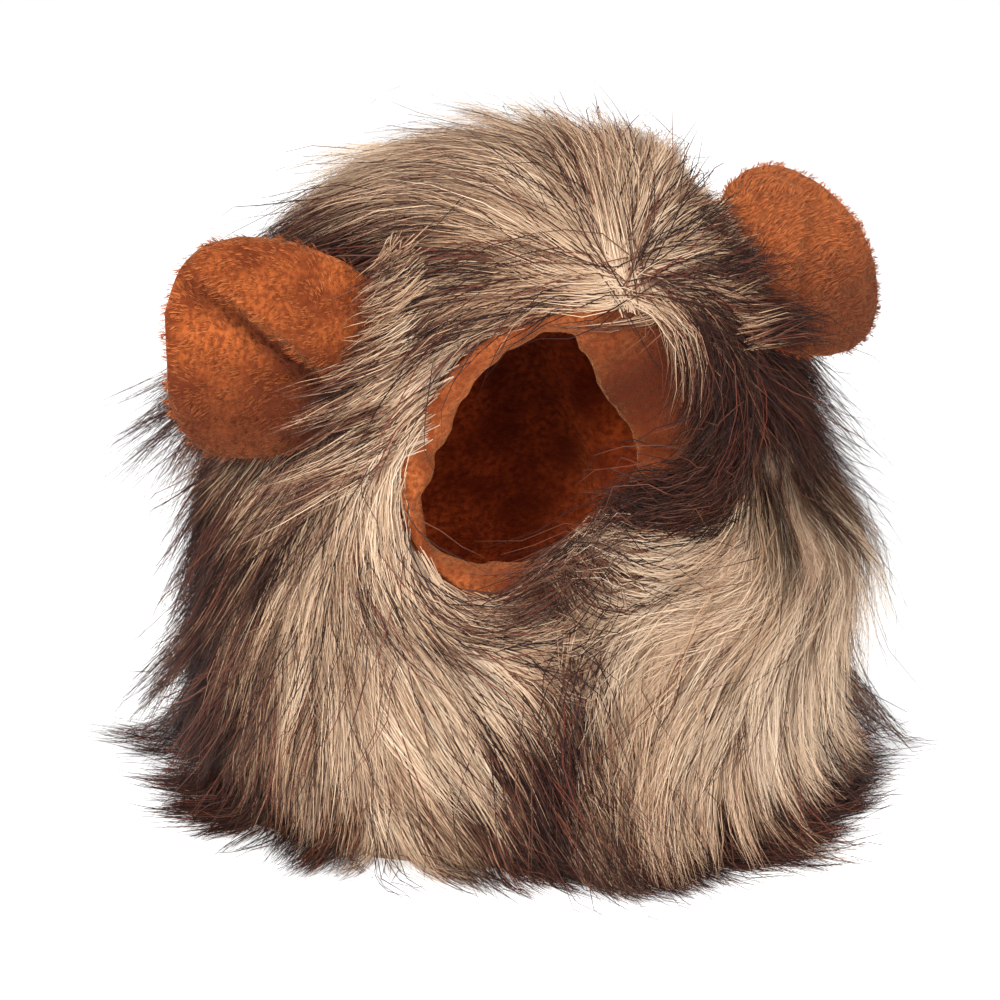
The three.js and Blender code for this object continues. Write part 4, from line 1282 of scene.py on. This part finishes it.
def along_rim(places, way, edge):
    """Hair that comes close to the fur edge turns to run along it."""
    near = face_reach(places) - opening_edge("fur", face_angle(places)) - edge
    turn = np.where(in_front(places), 1 - smooth(0, RIM_BAND, near), 0)
    inward = (FACE_CENTRE - places) * np.array([1, 0, 1])
    inward /= np.maximum(np.linalg.norm(inward, axis=-1, keepdims=True), 1 * MM)
    into = np.maximum((way * inward).sum(axis=1), 0) * turn
    return way - inward * into[:, None]


def clear_of_face(points, edge):
    """Points in front of the opening are moved out to the fur edge, give or take each hair's share."""
    reach = face_reach(points)
    limit = opening_edge("fur", face_angle(points)) + edge
    inside = (reach < limit) & in_front(points)
    moved = points.copy()
    share = (limit / np.maximum(reach, 0.1))[inside, None]
    flat = FACE_CENTRE[[0, 2]]
    moved[np.ix_(inside, [0, 2])] = flat + (points[np.ix_(inside, [0, 2])] - flat) * share
    return moved


def clear_of_ears(points, spread):
    """Points on an ear are moved in front of it or close behind it. Those far out on its front are
    stopped, further out over its lower part, give or take each hair's share."""
    moved, stop = points.copy(), np.zeros(len(points), dtype=bool)
    for root, out, high, front in EAR_FRAMES.values():
        u, v, w = ((moved - root) @ axis for axis in (out, high, front))
        on = (u > -2 * MM) & (u < EAR_LENGTH + 6 * MM) & (np.abs(v) < EAR_WIDTH / 2 + 2 * MM)
        bow = EAR_BOW * np.clip(u / EAR_LENGTH, 0, 1) * (1 - (v / (EAR_WIDTH / 2)) ** 2)
        middle = np.maximum(bow, 0)
        near = on & (w > middle)
        far = on & (w <= middle) & (w > middle - 14 * MM)
        gap = EAR_THICKNESS / 2 + 1.5 * MM
        w_new = np.where(near, np.maximum(w, middle + gap), np.where(far, np.minimum(w, middle - gap), w))
        moved += front * (w_new - w)[:, None]
        stop |= near & (u > np.interp(v, EAR_COVER["up"], EAR_COVER["out"]) * spread)
        stop |= far & (u > 0.75 * EAR_LENGTH)
    return moved, stop


roots = place_roots(3420, 11)
guides = gathered(walk(roots, 21, PILE_LENGTH, 1.0), 22, 0.17, 0.8)
print("guides", len(roots), "reaching", np.round(guides[0].reshape(-1, 3).min(axis=0) / MM), "to",
      np.round(guides[0].reshape(-1, 3).max(axis=0) / MM), "mm")

# %% [markdown]
# ## From guides to hair
# Geometry Nodes turn each guide into a tuft of strands. The guide is duplicated, each copy is moved
# off it by its own random amount, noise gives it a wave, and it is trimmed to its own length. A strand
# is a thin ribbon that narrows to its tip, turned a little about its own line so that it catches the
# light in its own way. Ribbons have few faces, and a tuft of them reads as hair.

# %% The strand tree


def strand_tree():
    tree = bpy.data.node_groups.new("strands", "GeometryNodeTree")
    face = tree.interface
    face.new_socket("Guides", in_out="INPUT", socket_type="NodeSocketGeometry")
    for label, kind in (
        ("Strands in a tuft", "NodeSocketInt"), ("Tuft width", "NodeSocketFloat"),
        ("Tip width share", "NodeSocketFloat"), ("Tuft depth", "NodeSocketFloat"),
        ("Wave", "NodeSocketFloat"), ("Curl", "NodeSocketFloat"), ("Strand width", "NodeSocketFloat"),
        ("Shortest", "NodeSocketFloat"), ("Points", "NodeSocketInt"), ("Seed", "NodeSocketInt"),
        ("Material", "NodeSocketMaterial"),
    ):
        face.new_socket(label, in_out="INPUT", socket_type=kind)
    face.new_socket("Hair", in_out="OUTPUT", socket_type="NodeSocketGeometry")
    bench = Bench(tree)
    entry = bench.add("NodeGroupInput")
    given = {s.name: Wire(s) for s in entry.outputs if s.name}

    curves = bench.wire("GeometryNodeMeshToCurve", None, {"Mesh": given["Guides"]})
    tufts = bench.wire(
        "GeometryNodeDuplicateElements", {"domain": "SPLINE"},
        {"Geometry": curves, "Amount": given["Strands in a tuft"]},
    )
    strand = bench.wire("GeometryNodeCurveOfPoint")
    share = bench.wire("GeometryNodeSplineParameter")

    def own(low, high, offset, number=strand):
        """A random number of each strand's own."""
        seed = given["Seed"] + offset
        return bench.wire(
            "FunctionNodeRandomValue", {"data_type": "FLOAT"},
            {"Min_001": low, "Max_001": high, "ID": number, "Seed": seed}, out=1,
        )

    def vector(name):
        return bench.wire("GeometryNodeInputNamedAttribute", {"data_type": "FLOAT_VECTOR"}, {"Name": name})

    def scaled(way, amount):
        return bench.wire("ShaderNodeVectorMath", {"operation": "SCALE"}, {0: way, "Scale": amount})

    def added(first, second):
        return bench.wire("ShaderNodeVectorMath", {"operation": "ADD"}, {0: first, 1: second})

    side, lift, along = vector("side"), vector("lift"), vector("run")
    gather = 1 - (1 - given["Tip width share"]) * share
    offset = scaled(side, own(-1.0, 1.0, 1) * given["Tuft width"] * gather)
    offset = added(offset, scaled(along, own(-1.0, 1.0, 2) * given["Tuft width"]))
    offset = added(offset, scaled(lift, own(-0.6, 0.5, 3) * given["Tuft depth"] * share))

    at = bench.wire("GeometryNodeInputPosition")
    own_place = bench.wire(
        "FunctionNodeRandomValue", {"data_type": "FLOAT_VECTOR"},
        {"Min": (-0.012,) * 3, "Max": (0.012,) * 3, "ID": strand, "Seed": given["Seed"] + 4},
    )
    noise = bench.wire(
        "ShaderNodeTexNoise", None, {"Vector": added(at, own_place), "Scale": 75.0, "Detail": 1.0}, out=1
    )
    centred = bench.wire("ShaderNodeVectorMath", {"operation": "SUBTRACT"}, {0: noise, 1: (0.5, 0.5, 0.5)})
    offset = added(offset, scaled(centred, given["Wave"] * share * 2))

    curl_here = bench.wire("GeometryNodeInputNamedAttribute", {"data_type": "FLOAT"}, {"Name": "curl"})
    phase = share * own(7.0, 12.0, 5) + own(0.0, 6.28, 6)
    amount = given["Curl"] * curl_here * share
    sine, cosine = phase.maths("SINE", phase), phase.maths("COSINE", phase)
    offset = added(offset, scaled(side, sine * amount))
    offset = added(offset, scaled(lift, cosine * amount))
    moved = bench.wire("GeometryNodeSetPosition", None, {"Geometry": tufts, "Offset": offset})
    apart = bench.add("ShaderNodeSeparateXYZ", None, {0: bench.wire("GeometryNodeInputPosition")})
    x, y, z = (Wire(s) for s in apart.outputs)
    level = z.maths("MINIMUM", z.maths("MAXIMUM", z, FLOOR_REST), CROWN_LIMIT)
    depth = y.maths("MINIMUM", y, BACK_LIMIT)
    between = bench.wire("ShaderNodeCombineXYZ", None, {0: x, 1: depth, 2: level})
    moved = bench.wire("GeometryNodeSetPosition", None, {"Geometry": moved, "Position": between})

    number = bench.wire("GeometryNodeInputIndex")
    trimmed = bench.wire(
        "GeometryNodeTrimCurve", {"mode": "FACTOR"},
        {"Curve": moved, "End": own(given["Shortest"], 1.0, 7, number)},
    )
    even = bench.wire(
        "GeometryNodeResampleCurve", {"mode": "COUNT"}, {"Curve": trimmed, "Count": given["Points"]}
    )
    normal = bench.wire("GeometryNodeSetCurveNormal", {"mode": "FREE"}, {"Curve": even, "Normal": lift})
    tilted = bench.wire("GeometryNodeSetCurveTilt", None, {"Curve": normal, "Tilt": own(-0.5, 0.5, 8)})
    marked = bench.wire(
        "GeometryNodeStoreNamedAttribute", {"data_type": "FLOAT", "domain": "POINT"},
        {"Geometry": tilted, "Name": "along", "Value": share},
    )
    marked = bench.wire(
        "GeometryNodeStoreNamedAttribute", {"data_type": "FLOAT", "domain": "POINT"},
        {"Geometry": marked, "Name": "shade", "Value": own(0.0, 1.0, 9)},
    )
    profile = bench.wire(
        "GeometryNodeCurvePrimitiveLine", None, {"Start": (0.0, -0.5, 0.0), "End": (0.0, 0.5, 0.0)}
    )
    taper = given["Strand width"] * (1 - 0.8 * share ** 2.0)
    ribbons = bench.wire(
        "GeometryNodeCurveToMesh", None, {"Curve": marked, "Profile Curve": profile, "Scale": taper}
    )
    shaded = bench.wire("GeometryNodeSetShadeSmooth", None, {"Geometry": ribbons})
    real = bench.wire("GeometryNodeRealizeInstances", None, {"Geometry": shaded})
    painted = bench.wire(
        "GeometryNodeSetMaterial", None, {"Geometry": real, "Material": given["Material"]}
    )
    bench.add("NodeGroupOutput", None, {"Hair": painted})
    return tree


STRANDS = strand_tree()
print("strand tree", len(STRANDS.nodes), "nodes")

# %% [markdown]
# The guides go in as a mesh of loose edges that carries the ways along, sideways and outwards at each
# point. The finished hair comes out as plain ribbons, and the modifier is gone.

# %% Growing a piece of fur


def grow(name, guides, chosen, inputs, curl=None):
    points, sides, lifts, dark, lock = (part[chosen] for part in guides)
    count, steps = points.shape[:2]
    mesh = bpy.data.meshes.new(name + "_guides")
    order = np.arange(count * steps).reshape(count, steps)
    edges = np.stack([order[:, :-1].ravel(), order[:, 1:].ravel()], axis=1)
    mesh.from_pydata(points.reshape(-1, 3).tolist(), edges.tolist(), [])
    run = np.gradient(points, axis=1)
    run /= np.maximum(np.linalg.norm(run, axis=2, keepdims=True), 1e-9)
    run = np.repeat(run[:, :1], steps, axis=1)
    for key, value in (("side", sides), ("lift", lifts), ("run", run)):
        data = mesh.attributes.new(key, "FLOAT_VECTOR", "POINT").data
        data.foreach_set("vector", value.astype(np.float32).ravel())
    curls = np.zeros(count) if curl is None else curl[chosen]
    for key, value in (("dark", dark), ("lock", lock), ("curl", curls)):
        data = mesh.attributes.new(key, "FLOAT", "POINT").data
        data.foreach_set("value", np.repeat(value, steps).astype(np.float32))
    source = bpy.data.objects.new(name + "_guides", mesh)
    bpy.context.collection.objects.link(source)
    modifier = source.modifiers.new("strands", "NODES")
    modifier.node_group = STRANDS
    for item in STRANDS.interface.items_tree:
        if item.in_out == "INPUT" and item.name in inputs:
            modifier[item.identifier] = inputs[item.name]
    view = bpy.context.evaluated_depsgraph_get()
    view.update()
    hair = bpy.data.meshes.new_from_object(source.evaluated_get(view), depsgraph=view)
    hair.name = name
    bpy.data.objects.remove(source)
    piece = bpy.data.objects.new(name, hair)
    bpy.context.collection.objects.link(piece)
    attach(piece, "root")
    triangles = sum(len(p.vertices) - 2 for p in hair.polygons)
    print(name, len(hair.vertices), "points", triangles, "triangles")
    return piece


# %% [markdown]
# ## The long pile
# The pile is grown in six parts, so that each stays small enough to handle: the crown, the front on
# either side of the opening, the flap, and the back on either side. A strand is a few times as wide as
# a real fibre, about a quarter of a millimetre in front. The back has fewer and wider ones.

# %% Long pile
FRONT_PILE = {
    "Strands in a tuft": 27, "Tuft width": 4.4 * MM, "Tip width share": 0.35, "Tuft depth": 5 * MM,
    "Wave": 3.8 * MM, "Curl": 3.5 * MM, "Strand width": 0.24 * MM, "Shortest": 0.6, "Points": 5,
    "Seed": 3, "Material": FUR,
}
BACK_PILE = dict(FRONT_PILE, **{"Strands in a tuft": 20, "Strand width": 0.36 * MM})

CURL_PATCHES = [(22, 0.5, 22), (44, 0.5, 20), (4, 0.36, 14), (-2, 0.22, 14), (40, 0.06, 16), (60, 0.62, 16)]


def curliness(points):
    curl = np.zeros(len(points))
    for azimuth, rise, radius in CURL_PATCHES:
        place = seam_points(np.array([azimuth]), np.array([way_at(rise)]))[0]
        curl = np.maximum(curl, fading(points, place, radius * MM))
    return curl


root_azimuth = seam_azimuth(roots)
root_rise = roots[:, 2] / HOOD_HEIGHT
crown = root_rise > 0.83
front = np.abs(root_azimuth) < 90
parts = {
    "fur_crown": crown,
    "fur_front_right": ~crown & front & (root_azimuth < 0),
    "fur_front_left": ~crown & front & (root_azimuth >= 0) & (root_rise >= 0.42),
    "fur_flap": ~crown & front & (root_azimuth >= 0) & (root_rise < 0.42),
    "fur_back_right": ~crown & ~front & (root_azimuth < 0),
    "fur_back_left": ~crown & ~front & (root_azimuth >= 0),
}
curls = curliness(roots)
for name, chosen in parts.items():
    grow(name, guides, chosen, BACK_PILE if "back" in name else FRONT_PILE, curls)

# %% [markdown]
# ## Guard hairs
# Stray hairs stand off the pile and give the fur its fuzzy outline. They are longer and fewer, and each
# goes its own way. The palest places have fewer of them.

# %% Guard hairs
GUARD = dict(FRONT_PILE, **{
    "Strands in a tuft": 3, "Tuft width": 6 * MM, "Tip width share": 1.9, "Tuft depth": 14 * MM,
    "Wave": 8 * MM, "Curl": 5 * MM, "Strand width": 0.36 * MM, "Shortest": 0.6, "Points": 6, "Seed": 50,
})

guard_roots = place_roots(3100, 31)
guard_guides = walk(guard_roots, 41, PILE_LENGTH * 1.2, 1.1, stray=0.7)
guard_guides = (*guard_guides[:3], np.clip(guard_guides[3] + 0.8, 0, 1), guard_guides[4])
sparse = (darkness(guard_roots) < 0.1) & (np.arange(len(guard_roots)) % 3 == 0)
grow("guard_hairs", guard_guides, ~sparse, GUARD, curliness(guard_roots))

# %% [markdown]
# A few tufts stick out of the outline, as the solid's single locks do. Each is a bundle of guides that
# leave the hood at a slant.

# %% Tufts
TUFTS = [
    # azimuth, way up, length in mm, flare
    (-106, 0.09, 60, 0.55), (-104, 0.16, 46, 0.45), (-112, 0.46, 52, 0.6), (-106, 0.52, 44, 0.5),
    (60, 0.14, 50, 0.5), (100, 0.44, 46, 0.34), (24, 0.09, 42, 0.5), (-50, 0.06, 44, 0.4),
    (-20, 0.06, 40, 0.4),
]
TUFT_GUIDES = 12
TUFT_RADIUS = 6 * MM


def scatter(dice, side, run):
    """A random step for each guide, sideways and along its way."""
    sideways = side * dice.uniform(-1, 1, (len(side), 1))
    return sideways + run * dice.uniform(-1, 1, (len(side), 1))


def tuft_guides(seed):
    dice = np.random.default_rng(seed)
    rows = np.repeat(np.array(TUFTS), TUFT_GUIDES, axis=0)
    azimuth, way, length, flare = rows.T
    place = seam_points(azimuth, way)
    normal = seam_normals(azimuth, way)
    run = comb(place, normal) + dice.normal(0, 0.12, place.shape)
    side = np.cross(normal, run)
    place = place + scatter(dice, side, run) * TUFT_RADIUS
    pile = on_seam(place)[2][:, None, None]
    share = np.linspace(0, 1, GUIDE_STEPS + 1)[:, None]
    length = (length * MM * dice.uniform(0.7, 1.0, len(rows)))[:, None, None]
    rise = (flare * dice.uniform(0.7, 1.1, len(rows)))[:, None, None]
    points = place[:, None] + run[:, None] * share * length
    points += normal[:, None] * (pile * (0.5 + 0.35 * share) + rise * length * share * (1.2 - 0.4 * share))
    points[..., 2] = np.maximum(points[..., 2], FLOOR_REST)
    sides, lifts = (np.repeat(v[:, None], GUIDE_STEPS + 1, axis=1) for v in (side, normal))
    return points, sides, lifts, dice.uniform(0.35, 0.8, len(rows)), dice.uniform(0, 1, len(rows))


loose = tuft_guides(61)
grow("stray_tufts", loose, np.ones(len(loose[0]), dtype=bool), dict(FRONT_PILE, **{"Tip width share": 0.7}))
covers = [ear_cover(name, 64 + k) for k, name in enumerate(EARS)]
cover = tuple(np.concatenate(parts) for parts in zip(*covers))
grow("ear_cover", cover, np.ones(len(cover[0]), dtype=bool), dict(FRONT_PILE, **{"Strands in a tuft": 18}))

# %% [markdown]
# ## The nap of the ears
# The ears' plush has a nap of short fibres, which softens their outline. Its guides stand on the ears'
# faces, spread by area, and lean towards the rim.

# %% Nap
NAP_TUFTS = 2200
NAP_LENGTH = 1.9 * MM


def nap_material():
    material, bench = new_material("nap")
    along, shade, hidden = (bench.attribute(name) for name in ("along", "shade", "dark"))
    # The fibres differ at random in tone. Painted shade darkens each one towards its root, and the ear's
    # painted shade, read from the dark attribute, darkens it further.
    base = mix(bench, shade, colour(140, 62, 24), colour(204, 118, 62))
    base = mix(bench, (1 - along) * 0.6, base, colour(100, 40, 14))
    base = mix(bench, hidden.clamped(), base, PAINTED_PLUSH_SHADE)
    painted(bench, base, 0.7, 0.2)
    return material


def nap_guides(name, seed):
    dice = np.random.default_rng(seed)
    mesh = ear_meshes[name]
    centres = np.empty((len(mesh.polygons), 3))
    normals, areas = np.empty_like(centres), np.empty(len(centres))
    mesh.polygons.foreach_get("center", centres.ravel())
    mesh.polygons.foreach_get("normal", normals.ravel())
    mesh.polygons.foreach_get("area", areas)
    # The ear's painted shade is carried to each fibre as its dark value.
    hidden = np.empty(len(mesh.vertices), dtype=np.float32)
    mesh.attributes["hidden"].data.foreach_get("value", hidden)
    first = np.array([p.vertices[0] for p in mesh.polygons])
    faces = dice.choice(len(centres), NAP_TUFTS, p=areas / areas.sum())
    place, normal = centres[faces], normals[faces]
    out = EAR_FRAMES[name][1]
    run = out + 0.5 * np.stack([wander(place, seed + k, 14 * MM) for k in range(3)], axis=1)
    run -= normal * (run * normal).sum(axis=1, keepdims=True)
    run /= np.linalg.norm(run, axis=1, keepdims=True)
    side = np.cross(normal, run)
    place = place + scatter(dice, side, run) * 0.6 * MM
    middle = place + (normal * 0.4 + run * 0.4) * NAP_LENGTH
    tip = place + (normal * 0.55 + run) * NAP_LENGTH
    points = np.stack([place, middle, tip], axis=1)
    sides, lifts = (np.repeat(v[:, None], 3, axis=1) for v in (side, normal))
    return points, sides, lifts, hidden[first[faces]].astype(float), dice.uniform(0, 1, NAP_TUFTS)


NAP_STRANDS = dict(FRONT_PILE, **{
    "Strands in a tuft": 5, "Tuft width": 0.9 * MM, "Tip width share": 0.8, "Tuft depth": 0.6 * MM,
    "Wave": 0.7 * MM, "Curl": 0.0, "Strand width": 0.2 * MM, "Points": 3, "Seed": 70,
    "Material": nap_material(),
})
for k, name in enumerate(EARS):
    nap = nap_guides(name, 80 + 5 * k)
    grow(name.replace("ear", "nap"), nap, np.ones(NAP_TUFTS, dtype=bool), NAP_STRANDS)

# %% [markdown]
# ## The chin closure
# The two ends of the fur are held with a tab of touch tape between them. Its solid is kept as it is,
# and gets a woven material with rows of tiny hooks in its bump.

# %% Touch tape


def tape_material():
    material, bench = new_material("touch tape")
    place = bench.wire("ShaderNodeTexCoord", out=3)
    hooks = bench.wire(
        "ShaderNodeTexVoronoi", {"feature": "F1"}, {"Vector": place, "Scale": 1100.0, "Randomness": 0.25}
    )
    weave = bench.wire("ShaderNodeTexWave", {"bands_direction": "Z"}, {"Vector": place, "Scale": 260.0})
    base = mix(bench, hooks.ramp(0.2, 0.7), colour(40, 26, 22), colour(74, 52, 42))
    height = (1 - hooks) + weave * 0.3
    bump = bench.wire("ShaderNodeBump", None, {"Strength": 0.7, "Distance": 0.0004, "Height": height})
    shader = bench.add(
        "ShaderNodeBsdfPrincipled", None, {"Base Color": base, "Roughness": 0.7, "Normal": bump}
    )
    bench.add("ShaderNodeOutputMaterial", None, {"Surface": Wire(shader.outputs[0])})
    return material


tab = bpy.data.objects["chin_closure"]
tab.data.materials.clear()
tab.data.materials.append(tape_material())
print("tab", len(tab.data.polygons), "faces")

# %% [markdown]
# ## Floor and light
# The floor and the air round it are plain and pale. Broad soft lights come from above, so that the fur
# has gentle shadows and the inside of the hood stays dark.

# %% Stage
FLOOR_HALF = 6.0

floor_mesh = bpy.data.meshes.new("floor")
h = FLOOR_HALF
floor_mesh.from_pydata([(-h, -h, 0), (h, -h, 0), (h, h, 0), (-h, h, 0)], [], [(0, 1, 2, 3)])
floor_paint, floor_bench = new_material("floor")
floor_shader = floor_bench.add(
    "ShaderNodeBsdfPrincipled", None, {"Base Color": (0.88, 0.88, 0.88, 1.0), "Roughness": 0.9}
)
floor_shader.inputs["Emission Color"].default_value = (1.0, 1.0, 1.0, 1.0)
floor_shader.inputs["Emission Strength"].default_value = 0.4
floor_shader.inputs["Specular IOR Level"].default_value = 0.1
floor_bench.add("ShaderNodeOutputMaterial", None, {"Surface": Wire(floor_shader.outputs[0])})
floor_mesh.materials.append(floor_paint)
floor = bpy.data.objects.new("floor", floor_mesh)
bpy.context.collection.objects.link(floor)
floor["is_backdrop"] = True

LIGHT_AIM = Vector((0.01, 0.01, 0.08))
LIGHTS = [
    # name, azimuth, elevation, distance, size, watts
    ("key", -42, 30, 1.1, 0.45, 13.5),
    ("fill", 30, 16, 1.2, 0.9, 6.0),
    ("top", -10, 82, 1.0, 0.7, 4.0),
    ("rear", 160, 50, 1.2, 0.8, 3.0),
]
for name, azimuth, elevation, distance, size, watts in LIGHTS:
    data = bpy.data.lights.new(name, "AREA")
    data.shape = "DISK"
    data.size = size
    data.energy = watts
    aimed(new_object(name, data), LIGHT_AIM, azimuth, elevation, distance)

world = bpy.data.worlds.new("studio")
bpy.context.scene.world = world
world.use_nodes = True
world.node_tree.nodes["Background"].inputs["Color"].default_value = (1.0, 1.0, 1.0, 1.0)
world.node_tree.nodes["Background"].inputs["Strength"].default_value = 0.45
bpy.context.scene.view_settings.view_transform = "Standard"
print("lights", [row[0] for row in LIGHTS])

# %% [markdown]
# ## Sizes
# The finished object is measured beside the solids it dresses. Fabric may stand a little proud of them.

# %% Sizes
DRESSED_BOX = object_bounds()
for label, box in (("solids", SOLID_BOX), ("dressed", DRESSED_BOX)):
    print(label, [[round(c * 1000, 1) for c in corner] for corner in box])
